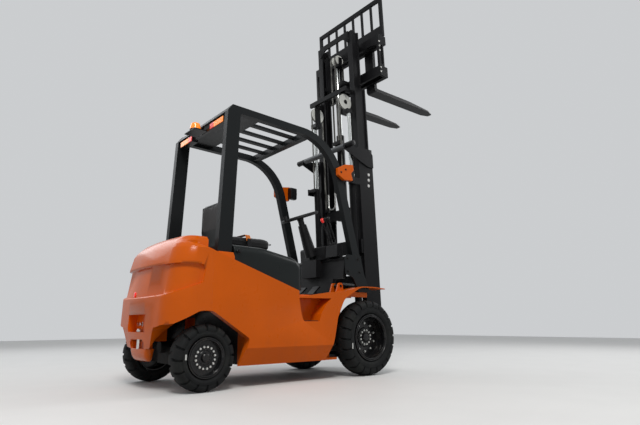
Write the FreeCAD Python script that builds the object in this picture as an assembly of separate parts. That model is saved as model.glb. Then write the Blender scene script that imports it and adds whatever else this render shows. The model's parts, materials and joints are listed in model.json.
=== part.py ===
"""Four-wheel electric counterbalance forklift with a raised three-stage mast.

+X is forward, +Y is left, +Z is up, in millimetres. Everything is built with X = 0 at the front
axle and the mast upright; place() then leans the mast back and moves the origin to the middle of
the truck's footprint, on the floor. On the mast, U is the distance in front of the axle.
"""
import FreeCAD
import Part
import math
import os

V = FreeCAD.Vector

# Gaps: two pieces that seat, two pieces that pass each other, a piece beside a fixed neighbour
RUN_GAP = 0.3
MOVE_GAP = 6.0
BATTERY_GAP = 10.0

# Running gear
WHEELBASE = 1650.0
FRONT_TYRE_R = 336.0
FRONT_TYRE_W = 190.0
FRONT_RIM_R = 207.0
FRONT_TRACK_OUT = 550.0
FRONT_LUGS = 22
FRONT_LUG_FOOT_R = 272.0
REAR_TYRE_R = 230.0
REAR_TYRE_W = 165.0
REAR_RIM_R = 139.0
REAR_TRACK_OUT = 532.0
REAR_LUGS = 16
REAR_LUG_FOOT_R = 184.0
LUG_DEPTH = 14.0
LUG_SIDE_DEPTH = 6.0
LUG_SLOT_W = 12.0
TYRE_BEAD = 18.0
TYRE_SHOULDER = 16.0
RIM_PLATE = 16.0
HUB_BACK = 20.0
KINGPIN_IN = 170.0
KINGPIN_R = 17.0
KNUCKLE_R = 30.0
SPINDLE_FRONT_R = 34.0
SPINDLE_REAR_R = 22.0
AXLE_TUBE_R = 60.0
AXLE_PAD_Y = 225.0
AXLE_PAD_H = 92.0
STEER_AXLE_HALF_H = 62.0
STEER_YOKE_HALF_H = 42.0
PIVOT_R = 45.0

# Body
BODY_HALF_W = 540.0
BODY_BOTTOM_Z = 158.0
CHAMFER_Z = 284.0
CHAMFER_IN = 50.0
SIDE_WALL = 60.0
FLOOR_SHEET = 18.0
WALL_SHEET = 16.0
SEAM_X = -1640.0
PANEL_REAR_Z = 988.0
PANEL_FRONT_X = -846.0
PANEL_FRONT_Z = 726.0
REAR_PANEL_END_X = -1312.0
SHELF_Z = 560.0
SHELF_T = 30.0
DECK_Z = 700.0
DECK_T = 12.0
DECK_FRONT_X = -380.0
FLOOR_T = 10.0
SILL_Z = 480.0
STEP_TOP_Z = 668.0
STEP_DEPTH = 130.0
TANK_DEPTH = 170.0
BATTERY_IN = 110.0
BATTERY_TOP_Z = 850.0
FENDER_TIP_X = 211.0
FENDER_T = 8.0
FENDER_IN = 155.0

# Side outlines as (x, z, corner radius). The front wheel arch, from the sill's foot upwards
ARCH_FOOT = [(-522.0, BODY_BOTTOM_Z), (-455.0, 330.0, 300.0)]
# The step's opening, from its rear top corner down, along the sill and up the mudguard's edge
STEP_REAR = [(PANEL_FRONT_X, STEP_TOP_Z), (-826.0, 553.0, 220.0), (-800.0, SILL_Z, 24.0)]
STEP_FRONT = [(-626.0, SILL_Z), (-608.0, 540.0), (-555.0, 616.0, 90.0), (-491.0, 673.0)]
# The rear wheel arch, counterweight and frame together
REAR_ARCH = [(-2200.0, 0.0), (-2200.0, 425.0), (-1940.0, 439.0, 80.0), (-1723.0, 552.0, 110.0),
             (-1628.0, 552.0, 80.0), (-1311.5, 352.0, 25.0), (-1380.0, 157.0), (-1425.0, 0.0)]

# Counterweight
CW_REAR_X = -1974.0
CW_BOW = 40.0
CW_BOW_R = 2500.0
CW_BULGE = 7.0
CW_SWING_R = 305.0
CW_SWING_Z = 200.0
CW_BLOCK_Y = 130.0
CW_ARCH_IN_Y = 300.0
CW_TOP_Z = 1112.0
# Sections from the bottom up: height, how far the rear lies in, how far the sides lie in, corner radius
CW_SECTIONS = (
    (BODY_BOTTOM_Z, 124.0, 40.0, 180.0), (205.0, 58.0, 14.0, 195.0), (300.0, 22.0, 0.0, 200.0),
    (430.0, 0.0, 0.0, 200.0), (648.0, 4.0, 0.0, 200.0), (900.0, 42.0, 0.0, 190.0),
    (1000.0, 68.0, 0.0, 185.0), (1036.0, 90.0, 26.0, 170.0), (1070.0, 118.0, 92.0, 140.0),
    (1100.0, 155.0, 122.0, 100.0), (CW_TOP_Z, 205.0, 172.0, 60.0))
PANEL_INSET = 22.0
# Edge of the sunk band round the counterweight as (x, z, corner radius)
CW_BAND = [(-2200.0, 648.0), (-1965.0, 652.0), (-1716.0, 747.0, 24.0), (-1694.0, 874.0, 24.0),
           (-1840.0, 884.0, 300.0), (-2200.0, 876.0)]
# Pockets in the rear face: half width, bottom, top, depth
CW_POCKETS = ((165.0, 404.0, 531.0, 70.0), (112.0, 283.0, 352.0, 70.0))
TOW_PIN_IN = 38.0
TOW_PIN_R = 16.0

# Battery hood and seat
HOOD_REAR_X = -1455.0
HOOD_FRONT_X = -770.0
HOOD_TOP_Z = 1058.0
HOOD_BREAK_X = -1180.0
HOOD_NOSE_Z = 988.0
HOOD_EDGE_R = 70.0
HOOD_IN = 28.0
HOOD_WALL = 24.0
HOOD_GAP = 6.0
HINGE_X = -1462.0
HINGE_Z = 1072.0
HINGE_Y = 300.0
HINGE_R = 10.0
HINGE_PIN_R = 5.0
HINGE_W = 60.0
PLINTH_H = 30.0
PLINTH_HALF_W = 200.0
SEAT_HALF_W = 225.0
SEAT_BACK_HALF_W = 210.0
SEAT_BACK_TOP_Z = 1497.0

# Overhead guard
GUARD_IN = 50.0
GUARD_BAR_Y = 55.0
GUARD_TOP_Z = 2205.0
GUARD_RAIL_H = 62.0
GUARD_REAR_TOP_X = -1548.0
GUARD_REAR_LEG_W = 118.0
GUARD_REAR_FOOT_X = -1586.0
GUARD_REAR_FOOT_Z = 985.0
GUARD_CHAMFER_X = 40.0
GUARD_CHAMFER_Z = 58.0
GUARD_BEND_X = -765.0
GUARD_BEND_R = 500.0
GUARD_FRONT_LEAN = 15.0
GUARD_FRONT_LEG_W = 88.0
GUARD_FOOT_Z = 745.0
FOOT_PLATE_T = 9.0
FOOT_BAR_H = 61.0
ROOF_PLATE_X = -1190.0
ROOF_FRONT_X = -715.0
ROOF_BAR_W = 60.0
SLAT_COUNT = 4
SLAT_W = 45.0
SLAT_H = 22.0

# Mast, all measured with the mast upright
MAST_TILT = 2.6
LIFT_AT_REST = 715.0
FREE_LIFT = 1543.0
MAST_BOTTOM_Z = 90.0
STAGE_STEP_Z = 10.0
MAST_TOP_Z = 2275.0
MAST_IN = 25.0
OUTER_FRONT_U = 392.0
OUTER_DEPTH = 207.0
OUTER_FLANGE = 18.0
OUTER_WEB = 12.0
OUTER_LIP = 60.0
RAIL_STEP_Y = 30.0
RAIL_STUB = 12.0
CROSS_T = 22.0
ROD_U = 125.0
ROD_Y = 279.0
LIFT_BARREL_R = 36.0
LIFT_ROD_R = 21.0
LIFT_FOOT_Z = 141.0
LIFT_ROD_FOOT_Z = 1062.0
GLAND_Z = 1930.0
GLAND_H = 60.0
CHAIN_ANCHOR_Z = 1920.0
PULLEY_R = 88.0
PULLEY_Y = 230.0
PULLEY_W = 24.0
PULLEY_DROP = 180.0
PULLEY_PIN_R = 14.0
LIFT_CHAIN_W = 16.0
TIE_BAR_R = 29.0
TIE_BAR_U = 5.0
TIE_BAR_Z = 2252.0
TIE_BAR_Y = 440.0
FREE_BARREL_R = 44.0
FREE_ROD_R = 26.0
FREE_U = 258.0
FREE_GLAND_Z = 1080.0
FREE_HEAD_Z = 2000.0
FREE_PULLEY_R = 52.0
CHAIN_Y = 32.0
CHAIN_W = 20.0
CHAIN_T = 12.0

# Carriage and forks
CARRIAGE_BACK_U = 402.0
CARRIAGE_U = 480.0
BAR_T = 45.0
BACK_BAR_T = 26.0
CARRIAGE_H = 508.0
CARRIAGE_HALF_W = 530.0
CARRIAGE_Z = 3089.0
BAR_H_UP = 110.0
BAR_H_LOW = 120.0
CHEEK_T = 30.0
ROLLER_PLATE_T = 18.0
CHAIN_LUG_Z = 108.0
FORK_LENGTH = 1070.0
FORK_W = 125.0
FORK_T = 45.0
FORK_Y = 260.0
FORK_DROP = 76.0
FORK_TIP_T = 12.0
FORK_TIP_LONG = 130.0
BACKREST_TOP = 1080.0
BACKREST_BARS = 6
BACKREST_BAR_W = 26.0
BACKREST_T = 32.0

# Tilt cylinders
TILT_OUT = 17.0
TILT_Z = 800.0
TILT_REAR_X = -250.0
TILT_LUG_U = 140.0
TILT_BARREL_R = 33.0
TILT_BARREL_L = 240.0
TILT_ROD_R = 16.0
TILT_ROD_IN = 112.0
TILT_PIN_R = 11.0
TILT_EYE_R = 24.0
TILT_EYE_W = 30.0
TILT_EYE_PLAY = 4.0

# Controls
WHEEL_HUB = (-420.0, 0.0, 1500.0)
COLUMN_FOOT = (-225.0, 0.0, 1010.0)
STEER_RIM_R = 180.0
STEER_GRIP_R = 14.0
COWL_HALF_W = 432.0
COWL_TOP_Z = 1080.0

# Lamps: cluster size along X, Y and Z; head lamp from and to along X and Z
LAMP_X = -1508.0
LAMP_Z = 2103.0
LAMP_Y = 282.0
LAMP_SIZE = (60.0, 230.0, 56.0)
BEACON_X = -1590.0
BEACON_Z = 2140.0
HEAD_LAMP = (-205.0, -125.0, 1818.0, 1950.0)

AXLE_Z = FRONT_TYRE_R
REAR_AXLE_X = -WHEELBASE
KINGPIN_Y = REAR_TRACK_OUT - KINGPIN_IN
BATTERY_HALF_W = BODY_HALF_W - BATTERY_IN
FENDER_IN_Y = BODY_HALF_W - FENDER_IN
HOOD_HALF_W = BODY_HALF_W - HOOD_IN
GUARD_OUT_Y = BODY_HALF_W - GUARD_IN
GUARD_IN_Y = GUARD_OUT_Y - GUARD_BAR_Y
OUTER_HALF_W = FRONT_TRACK_OUT - FRONT_TYRE_W - MAST_IN
OUTER_REAR_U = OUTER_FRONT_U - OUTER_DEPTH
TILT_Y = OUTER_HALF_W + TILT_OUT
CARRIAGE_FACE_U = CARRIAGE_U + BAR_T
FORK_TIP_U = CARRIAGE_FACE_U + FORK_T + FORK_LENGTH
TILT = math.radians(MAST_TILT)


def leaned(u, z):
    """Where a point of the upright mast lies once the mast leans back about the front axle."""
    return (u * math.cos(TILT) - (z - AXLE_Z) * math.sin(TILT),
            AXLE_Z + u * math.sin(TILT) + (z - AXLE_Z) * math.cos(TILT))


FORK_TIP_X = leaned(FORK_TIP_U, CARRIAGE_Z - FORK_DROP)[0]
ORIGIN_SHIFT = -(FORK_TIP_X + CW_REAR_X) / 2.0

EXPORTS = {}


def box(x0, x1, y0, y1, z0, z1):
    return Part.makeBox(x1 - x0, y1 - y0, z1 - z0, V(x0, y0, z0))


def cyl(start, axis, radius, length):
    return Part.makeCylinder(radius, length, V(*start), V(*axis))


def ring(start, axis, outer, inner, length):
    return cyl(start, axis, outer, length).cut(cyl(start, axis, inner, length))


def fuse(shapes):
    shapes = list(shapes)
    whole = shapes[0]
    if len(shapes) > 1:
        whole = whole.multiFuse(shapes[1:])
    return whole.removeSplitter()


def mirrored(shape):
    return shape.mirror(V(0, 0, 0), V(0, 1, 0))


def both(shape):
    """A piece and its mirror image on the other side of the truck, as separate solids."""
    return Part.makeCompound([shape, mirrored(shape)])


def outline(points):
    """A closed wire in the XY plane. Each point is (a, b) or (a, b, corner radius)."""
    count = len(points)
    edges = []
    legs = []
    for i, point in enumerate(points):
        here = V(point[0], point[1], 0)
        radius = point[2] if len(point) > 2 else 0.0
        before = V(points[i - 1][0], points[i - 1][1], 0) - here
        after = V(points[(i + 1) % count][0], points[(i + 1) % count][1], 0) - here
        if radius <= 0:
            legs.append((here, here, here))
            continue
        before.normalize()
        after.normalize()
        half = before.getAngle(after) / 2.0
        reach = radius / math.tan(half)
        middle = before + after
        middle.normalize()
        centre = here + middle * (radius / math.sin(half))
        legs.append((here + before * reach, centre - middle * radius, here + after * reach))
    for i, (enter, mid, leave) in enumerate(legs):
        if enter.distanceToPoint(leave) > 1e-6:
            edges.append(Part.Arc(enter, mid, leave).toShape())
        following = legs[(i + 1) % count][0]
        if leave.distanceToPoint(following) > 1e-6:
            edges.append(Part.LineSegment(leave, following).toShape())
    return Part.Wire(edges)


def slab_z(points, z0, z1):
    """An XY outline extruded upwards."""
    face = Part.Face(outline(points))
    face.translate(V(0, 0, z0))
    return face.extrude(V(0, 0, z1 - z0))


def slab_y(points, y0, y1):
    """An XZ outline extruded along Y."""
    face = Part.Face(outline(points))
    face.rotate(V(0, 0, 0), V(1, 0, 0), 90)
    face.translate(V(0, y0, 0))
    return face.extrude(V(0, y1 - y0, 0))


def slab_x(points, x0, x1):
    """A YZ outline extruded along X."""
    face = Part.Face(outline(points))
    face.rotate(V(0, 0, 0), V(1, 0, 0), 90)
    face.rotate(V(0, 0, 0), V(0, 0, 1), 90)
    face.translate(V(x0, 0, 0))
    return face.extrude(V(x1 - x0, 0, 0))


def revolved_y(points, x, z):
    """A profile of (radius, y) points turned about the line along Y through (x, z)."""
    face = Part.Face(outline(points))
    solid = face.revolve(V(0, 0, 0), V(0, 1, 0), 360)
    solid.translate(V(x, 0, z))
    return solid


def place(name, shape, on_mast=False):
    """Record a node, leaning it back with the mast if it belongs to it."""
    shape = shape.copy()
    if on_mast:
        shape.rotate(V(0, 0, AXLE_Z), V(0, 1, 0), -MAST_TILT)
    shape.translate(V(ORIGIN_SHIFT, 0, 0))
    EXPORTS[name] = shape


# Wheels

def tyre(radius, width, rim_r, lugs, foot_r, out_y, x):
    """A solid industrial tyre, with slots across both shoulders and down the sides between lugs."""
    y1 = out_y
    y0 = out_y - width
    bead_r = rim_r + TYRE_BEAD
    edge_r = radius - TYRE_SHOULDER
    body = revolved_y([
        (rim_r, y0 + 12), (bead_r, y0), (edge_r, y0), (radius, y0 + TYRE_SHOULDER),
        (radius, y1 - TYRE_SHOULDER), (edge_r, y1), (bead_r, y1), (rim_r, y1 - 12)], x, radius)
    reach = width * 0.34
    floor_r = radius - LUG_DEPTH
    slots = []
    for side in (0, 1):
        face, inward = (y1, -1.0) if side else (y0, 1.0)
        profile = [(face - inward, foot_r), (face + inward * LUG_SIDE_DEPTH, foot_r),
                   (face + inward * LUG_SIDE_DEPTH, floor_r), (face + inward * reach, floor_r),
                   (face + inward * reach, radius + 5), (face - inward, radius + 5)]
        for i in range(lugs):
            slot = slab_x(profile, x - LUG_SLOT_W / 2, x + LUG_SLOT_W / 2)
            slot.translate(V(0, 0, radius))
            slot.rotate(V(x, 0, radius), V(0, 1, 0), 360.0 / lugs * (i + 0.5 * side))
            slots.append(slot)
    return body.cut(Part.makeCompound(slots))


def stud_ring(count, pitch_r, stud_r, y0, y1, x, z):
    studs = []
    for i in range(count):
        angle = 2.0 * math.pi * (i + 0.5) / count
        studs.append(cyl((x + pitch_r * math.cos(angle), y0, z + pitch_r * math.sin(angle)),
                         (0, 1, 0), stud_r, y1 - y0))
    return studs


# End: where its tyre ends (rim radius, tyre width, outer side), hub place, bore, how far the disc
# lies in, lock ring radius, hub radius and height, cap radius and height, rings of (count, pitch
# radius, stud radius, height above the disc)
WHEELS = {
    "front": dict(rim_r=FRONT_RIM_R, width=FRONT_TYRE_W, out_y=FRONT_TRACK_OUT, x=0.0, z=AXLE_Z,
                  bore=SPINDLE_FRONT_R + RUN_GAP, disc_in=100.0, ring_r=185.0, hub_r=82.0, hub_h=12.0,
                  cap_r=42.0, cap_h=26.0, studs=((12, 64.0, 7.0, 22.0), (10, 127.0, 9.0, 12.0))),
    "rear": dict(rim_r=REAR_RIM_R, width=REAR_TYRE_W, out_y=REAR_TRACK_OUT, x=REAR_AXLE_X,
                 z=REAR_TYRE_R, bore=SPINDLE_REAR_R + RUN_GAP, disc_in=34.0, ring_r=120.0,
                 hub_r=46.0, hub_h=6.0, cap_r=33.0, cap_h=24.0, studs=((16, 74.0, 6.5, 12.0),)),
}
FLANGE_IN = 6.0


def disc_face(wheel):
    """Outer face of the wheel's disc, as a Y on the left side."""
    return wheel["out_y"] - FLANGE_IN - wheel["disc_in"]


def rim(wheel):
    """A disc wheel: barrel with two flanges and a lock ring, bolted disc and capped hub."""
    y1 = wheel["out_y"] - FLANGE_IN
    y0 = wheel["out_y"] - wheel["width"] + FLANGE_IN
    face = disc_face(wheel)
    back = face - RIM_PLATE
    edge = wheel["rim_r"] - RUN_GAP
    barrel = wheel["rim_r"] - 12.0
    hub_top = face + wheel["hub_h"]
    seat = hub_top - 4.0
    body = revolved_y([
        (wheel["bore"], back - HUB_BACK), (wheel["hub_r"], back - HUB_BACK), (wheel["hub_r"] + 6, back),
        (barrel, back), (barrel, y0 + 8), (barrel + 4, y0), (edge, y0), (edge, y1), (barrel + 4, y1),
        (barrel, y1 - 6), (wheel["ring_r"], y1 - 10), (wheel["ring_r"], face),
        (wheel["hub_r"] + 6, face), (wheel["hub_r"], hub_top), (wheel["cap_r"], hub_top),
        (wheel["cap_r"] - 4, hub_top + wheel["cap_h"] - 6), (wheel["cap_r"] - 12, hub_top + wheel["cap_h"]),
        (0, hub_top + wheel["cap_h"]), (0, seat), (wheel["bore"], seat)], wheel["x"], wheel["z"])
    studs = []
    for count, pitch_r, stud_r, height in wheel["studs"]:
        studs += stud_ring(count, pitch_r, stud_r, face - 2, face + height, wheel["x"], wheel["z"])
    return fuse([body] + studs)


def build_wheels():
    front_tyre = tyre(FRONT_TYRE_R, FRONT_TYRE_W, FRONT_RIM_R, FRONT_LUGS, FRONT_LUG_FOOT_R,
                      FRONT_TRACK_OUT, 0.0)
    rear_tyre = tyre(REAR_TYRE_R, REAR_TYRE_W, REAR_RIM_R, REAR_LUGS, REAR_LUG_FOOT_R,
                     REAR_TRACK_OUT, REAR_AXLE_X)
    front_rim = rim(WHEELS["front"])
    rear_rim = rim(WHEELS["rear"])
    for side, turn in (("left", lambda s: s), ("right", mirrored)):
        place("front_tyre_" + side, turn(front_tyre))
        place("front_rim_" + side, turn(front_rim))
        place("rear_tyre_" + side, turn(rear_tyre))
        place("rear_rim_" + side, turn(rear_rim))


# Axles

def build_axles():
    face = disc_face(WHEELS["front"])
    reach = face - RIM_PLATE - HUB_BACK - 1.0
    tip = face + WHEELS["front"]["hub_h"] - 5.0
    tube = cyl((0, -reach, AXLE_Z), (0, 1, 0), AXLE_TUBE_R, 2 * reach)
    spindle = cyl((0, -tip, AXLE_Z), (0, 1, 0), SPINDLE_FRONT_R, 2 * tip)
    housing = revolved_y([(1, -105), (92, -105, 20), (138, -60, 25), (138, 60, 25), (92, 105, 20),
                          (1, 105)], 0.0, AXLE_Z)
    motor = cyl((0, -70, AXLE_Z), (-1, 0, 0), 95.0, 300.0)
    gears = cyl((0, 70, AXLE_Z), (-1, 0, 0), 70.0, 240.0)
    pads = [box(-70, 70, s * AXLE_PAD_Y - 28, s * AXLE_PAD_Y + 28, AXLE_Z, AXLE_Z + AXLE_PAD_H)
            for s in (-1, 1)]
    place("drive_axle", fuse([tube, spindle, housing, motor, gears] + pads))

    z = REAR_TYRE_R
    x = REAR_AXLE_X
    end = KINGPIN_Y + 40
    wide = 85.0
    narrow = 32.0
    plan = [(x - wide, 0), (x - wide, KINGPIN_Y - 242, 20), (x - narrow, KINGPIN_Y - 120, 20),
            (x - narrow, end, 24), (x + narrow, end, 24), (x + narrow, KINGPIN_Y - 120, 20),
            (x + wide, KINGPIN_Y - 242, 20), (x + wide, 0)]
    half = slab_z(plan, z - STEER_AXLE_HALF_H, z + STEER_AXLE_HALF_H)
    half = half.cut(box(x - 60, x + 60, KINGPIN_Y - 48, end + 5, z - STEER_YOKE_HALF_H,
                        z + STEER_YOKE_HALF_H))
    half = half.cut(cyl((x, KINGPIN_Y, z - 100), (0, 0, 1), KINGPIN_R + RUN_GAP, 200))
    pivot = cyl((x - 130, 0, z + STEER_AXLE_HALF_H), (1, 0, 0), PIVOT_R, 260.0)
    saddle = box(x - 80, x + 80, -50, 50, z, z + STEER_AXLE_HALF_H + 8)
    place("steer_axle", fuse([half, mirrored(half), pivot, saddle]))

    face = disc_face(WHEELS["rear"])
    back = face - RIM_PLATE - HUB_BACK - 1.0
    tip = face + WHEELS["rear"]["hub_h"] - 5.0
    pin = cyl((x, KINGPIN_Y, z - STEER_AXLE_HALF_H), (0, 0, 1), KINGPIN_R, 2 * STEER_AXLE_HALF_H)
    barrel = cyl((x, KINGPIN_Y, z - STEER_YOKE_HALF_H + RUN_GAP), (0, 0, 1), KNUCKLE_R,
                 2 * (STEER_YOKE_HALF_H - RUN_GAP))
    neck = cyl((x, KINGPIN_Y, z), (0, 1, 0), 28.0, back - KINGPIN_Y)
    spindle = cyl((x, KINGPIN_Y, z), (0, 1, 0), SPINDLE_REAR_R, tip - KINGPIN_Y)
    knuckle = fuse([pin, barrel, neck, spindle])
    place("knuckle_left", knuckle)
    place("knuckle_right", mirrored(knuckle))


# Body

def panel_z(x):
    """Height of the sloping top edge of the side panel."""
    share = (x - SEAM_X) / (PANEL_FRONT_X - SEAM_X)
    return PANEL_REAR_Z + share * (PANEL_FRONT_Z - PANEL_REAR_Z)


def build_mudguard():
    """One bolted-on mudguard: a side plate, the sheet over the wheel and the guard's foot beam."""
    out = BODY_HALF_W
    inside = out - SIDE_WALL
    tip = FENDER_TIP_X
    side = slab_y(STEP_FRONT + [
        (-477, 729), (-330, 741, 150), (-110, 794, 250), (60, 797, 400), (tip, 788), (tip, 788 - FENDER_T),
        (60, 797 - FENDER_T, 400), (-120, 786, 220), (-330, 676, 150), (-418, 505, 100),
        (-421, SILL_Z)], inside, out)
    sheet = slab_y([(-330, 741), (-110, 794, 250), (60, 797, 400), (tip, 788), (tip, 788 - FENDER_T),
                    (60, 797 - FENDER_T, 400), (-108, 794 - FENDER_T, 240), (-330, 741 - FENDER_T)],
                   FENDER_IN_Y, inside)
    beam = slab_y([(-300, DECK_Z), (20, DECK_Z, 10), (20, GUARD_FOOT_Z - RUN_GAP),
                   (-300, GUARD_FOOT_Z - RUN_GAP)], GUARD_IN_Y, inside)
    slot = box(-150, 45, GUARD_IN_Y - RUN_GAP, GUARD_OUT_Y + FOOT_PLATE_T + MOVE_GAP / 2,
               GUARD_FOOT_Z - RUN_GAP, 830)
    return fuse([fuse([side, sheet]).cut(slot), beam])


def build_frame():
    out = BODY_HALF_W
    inside = out - SIDE_WALL
    side = slab_y([
        (SEAM_X, BODY_BOTTOM_Z)] + ARCH_FOOT + [
        (-421, SILL_Z), (-626, SILL_Z), (-626, 600), (-491, 673), (-477, 729),
        (PANEL_FRONT_X + 2, STEP_TOP_Z + 6), (PANEL_FRONT_X, STEP_TOP_Z + 6),
        (PANEL_FRONT_X, PANEL_FRONT_Z, 12), (SEAM_X, PANEL_REAR_Z)], inside, out)
    # the tank laps the side panel, between its front edge and the battery
    tank_rear = PANEL_FRONT_X - BATTERY_GAP / 2
    tank = slab_y([(tank_rear, BODY_BOTTOM_Z)] + ARCH_FOOT + [
        (-420, 500, 200), (-340, 660, 60), (-340, DECK_Z), (tank_rear, DECK_Z)],
        out - TANK_DEPTH, inside)
    pad_top = GUARD_REAR_FOOT_Z - RUN_GAP
    foot_pad = slab_y([(-1600, 900), (-1462, 860), (-1462, pad_top - 30), (-1475, pad_top),
                       (-1600, pad_top)], GUARD_IN_Y - 40, out - 10)
    half = fuse([side, tank, foot_pad])
    chamfer = slab_x([(out - CHAMFER_IN, BODY_BOTTOM_Z - 1), (out + 5, BODY_BOTTOM_Z - 1),
                      (out + 5, CHAMFER_Z), (out, CHAMFER_Z)], SEAM_X - 5, -400)
    recess = slab_y(STEP_REAR + STEP_FRONT, out - STEP_DEPTH, out + 5)
    half = half.cut(chamfer).cut(recess).cut(slab_y(REAR_ARCH, out - 200, out + 10))
    base = box(REAR_PANEL_END_X, DECK_FRONT_X, -inside, inside, BODY_BOTTOM_Z, BODY_BOTTOM_Z + FLOOR_SHEET)
    wall_x = HOOD_REAR_X - 35
    wall_top = HOOD_TOP_Z - 13
    rear_wall = box(wall_x, wall_x + 25, -inside, inside, SHELF_Z, wall_top)
    rear_wall = rear_wall.cut(both(box(-1700, -1400, GUARD_IN_Y - MOVE_GAP, 700, pad_top, 1200)))
    shelf = box(SEAM_X, wall_x + 25, -inside, inside, SHELF_Z, SHELF_Z + SHELF_T)
    low_wall = box(REAR_PANEL_END_X, REAR_PANEL_END_X + WALL_SHEET, -inside, inside, BODY_BOTTOM_Z,
                   SHELF_Z + SHELF_T)
    mid_floor = box(wall_x, REAR_PANEL_END_X + WALL_SHEET, -inside, inside, SHELF_Z, SHELF_Z + SHELF_T)
    tank_in = out - TANK_DEPTH
    front_wall = box(-790, -774, -tank_in, tank_in, BODY_BOTTOM_Z, DECK_Z + 20)
    deck = box(-774, DECK_FRONT_X, -inside, inside, DECK_Z - DECK_T, DECK_Z)
    nose = box(DECK_FRONT_X - WALL_SHEET, DECK_FRONT_X, 100 - inside, inside - 100, BODY_BOTTOM_Z, DECK_Z)
    pad_z = AXLE_Z + AXLE_PAD_H
    arms = []
    for s in (-1, 1):
        y = s * AXLE_PAD_Y
        arms.append(slab_y([(DECK_FRONT_X - 2, 250), (-330, 250), (-84, pad_z), (75, pad_z),
                            (75, pad_z + 38, 20), (-150, pad_z + 98), (DECK_FRONT_X - 2, DECK_Z)],
                           y - 10, y + 10))
        arms.append(box(-75, 75, y - 28, y + 28, pad_z, pad_z + 16))
    ears = []
    for y in (TILT_Y - 50, TILT_Y + 34):
        ear = slab_y([(TILT_REAR_X - 70, DECK_Z - 6), (TILT_REAR_X + 50, DECK_Z - 6),
                      (TILT_REAR_X + 24, TILT_Z + 30, 24), (TILT_REAR_X - 24, TILT_Z + 30, 24)],
                     y, y + 16)
        ears.append(ear.cut(cyl((TILT_REAR_X, y - 1, TILT_Z), (0, 1, 0), TILT_PIN_R + RUN_GAP, 20)))
    ledge = box(DECK_FRONT_X - 2, TILT_REAR_X + 60, AXLE_PAD_Y - 10, inside, DECK_Z - DECK_T, DECK_Z)
    brackets = [cyl((HINGE_X, HINGE_Y - 43, HINGE_Z), (0, 1, 0), HINGE_PIN_R, 86)]
    for y in (HINGE_Y - 43, HINGE_Y + 33):
        brackets.append(slab_y([(wall_x + 2, wall_top - 25), (wall_x + 24, wall_top - 25),
                                (HINGE_X + 6, HINGE_Z - 9, 4), (HINGE_X + 9, HINGE_Z + 9, 8),
                                (HINGE_X - 11, HINGE_Z + 11, 8)], y, y + 10))
    halves = [half] + ears + [ledge] + brackets
    body = fuse(halves + [mirrored(h) for h in halves]
                + [base, rear_wall, shelf, low_wall, mid_floor, front_wall, deck, nose] + arms)
    mudguard = build_mudguard()
    place("frame", Part.makeCompound([body, mudguard, mirrored(mudguard)]))


def cw_section(z, rear_in, side_in, corner_r, extra):
    """Plan outline of the counterweight at one height, drawn in by extra all round."""
    side = BODY_HALF_W - side_in - extra
    share = side / BODY_HALF_W
    radius = corner_r - extra
    middle_x = CW_REAR_X + rear_in + extra - CW_BULGE * share
    corner_x = middle_x + CW_BOW * share
    front_x = SEAM_X - RUN_GAP
    wire = outline([(front_x, -side), (corner_x, -side, radius), (middle_x, 0, CW_BOW_R * share),
                    (corner_x, side, radius), (front_x, side)])
    wire.translate(V(0, 0, z))
    return wire


def cw_body(extra):
    return Part.makeLoft([cw_section(*section, extra) for section in CW_SECTIONS], True, True)


def build_counterweight():
    wide = BODY_HALF_W + 60
    band = slab_y(CW_BAND, -wide, wide)
    body = cw_body(0.0)
    body = body.cut(band).fuse(cw_body(PANEL_INSET).common(band))
    shoulder = slab_y([(SEAM_X - 170, 1046), (SEAM_X + 5, PANEL_REAR_Z), (SEAM_X + 5, 1200),
                       (SEAM_X - 170, 1200)], BODY_HALF_W - 96, wide)
    tools = [both(shoulder), both(slab_y(REAR_ARCH, CW_ARCH_IN_Y, wide))]
    tools.append(both(cyl((REAR_AXLE_X, CW_BLOCK_Y, CW_SWING_Z), (0, 1, 0), CW_SWING_R,
                          CW_ARCH_IN_Y + 20 - CW_BLOCK_Y)))
    # the middle block's flank, which bares the wheels from behind
    tools.append(both(slab_x([(wide, 100), (130, 100), (172, 205, 60), (238, 335), (290, 430, 60),
                              (400, 455, 120), (wide, 470)], CW_REAR_X - 60, CW_REAR_X + 130)))
    tools.append(box(SEAM_X - 320, SEAM_X + 5, -CW_BLOCK_Y - 5, CW_BLOCK_Y + 5, 0,
                     REAR_TYRE_R + STEER_AXLE_HALF_H + PIVOT_R + RUN_GAP))
    tools.append(box(SEAM_X - 200, SEAM_X + 5, -wide, wide, 0, 205))
    for half_w, z0, z1, depth in CW_POCKETS:
        tools.append(box(CW_REAR_X - 20, CW_REAR_X + depth, -half_w, half_w, z0, z1))
    # the tow pin's hole, drilled up from below through the lower lip and the rib
    tools.append(cyl((CW_REAR_X + TOW_PIN_IN, 0, 0), (0, 0, 1), TOW_PIN_R, CW_POCKETS[0][1] + 1))
    for tool in tools:
        body = body.cut(tool)
    place("counterweight", body)


def build_battery():
    rear = REAR_PANEL_END_X + WALL_SHEET + BATTERY_GAP
    front = PANEL_FRONT_X - BATTERY_GAP
    place("battery", box(rear, front, -BATTERY_HALF_W, BATTERY_HALF_W, BODY_BOTTOM_Z + FLOOR_SHEET,
                         BATTERY_TOP_Z))


# Hood and seat

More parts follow.
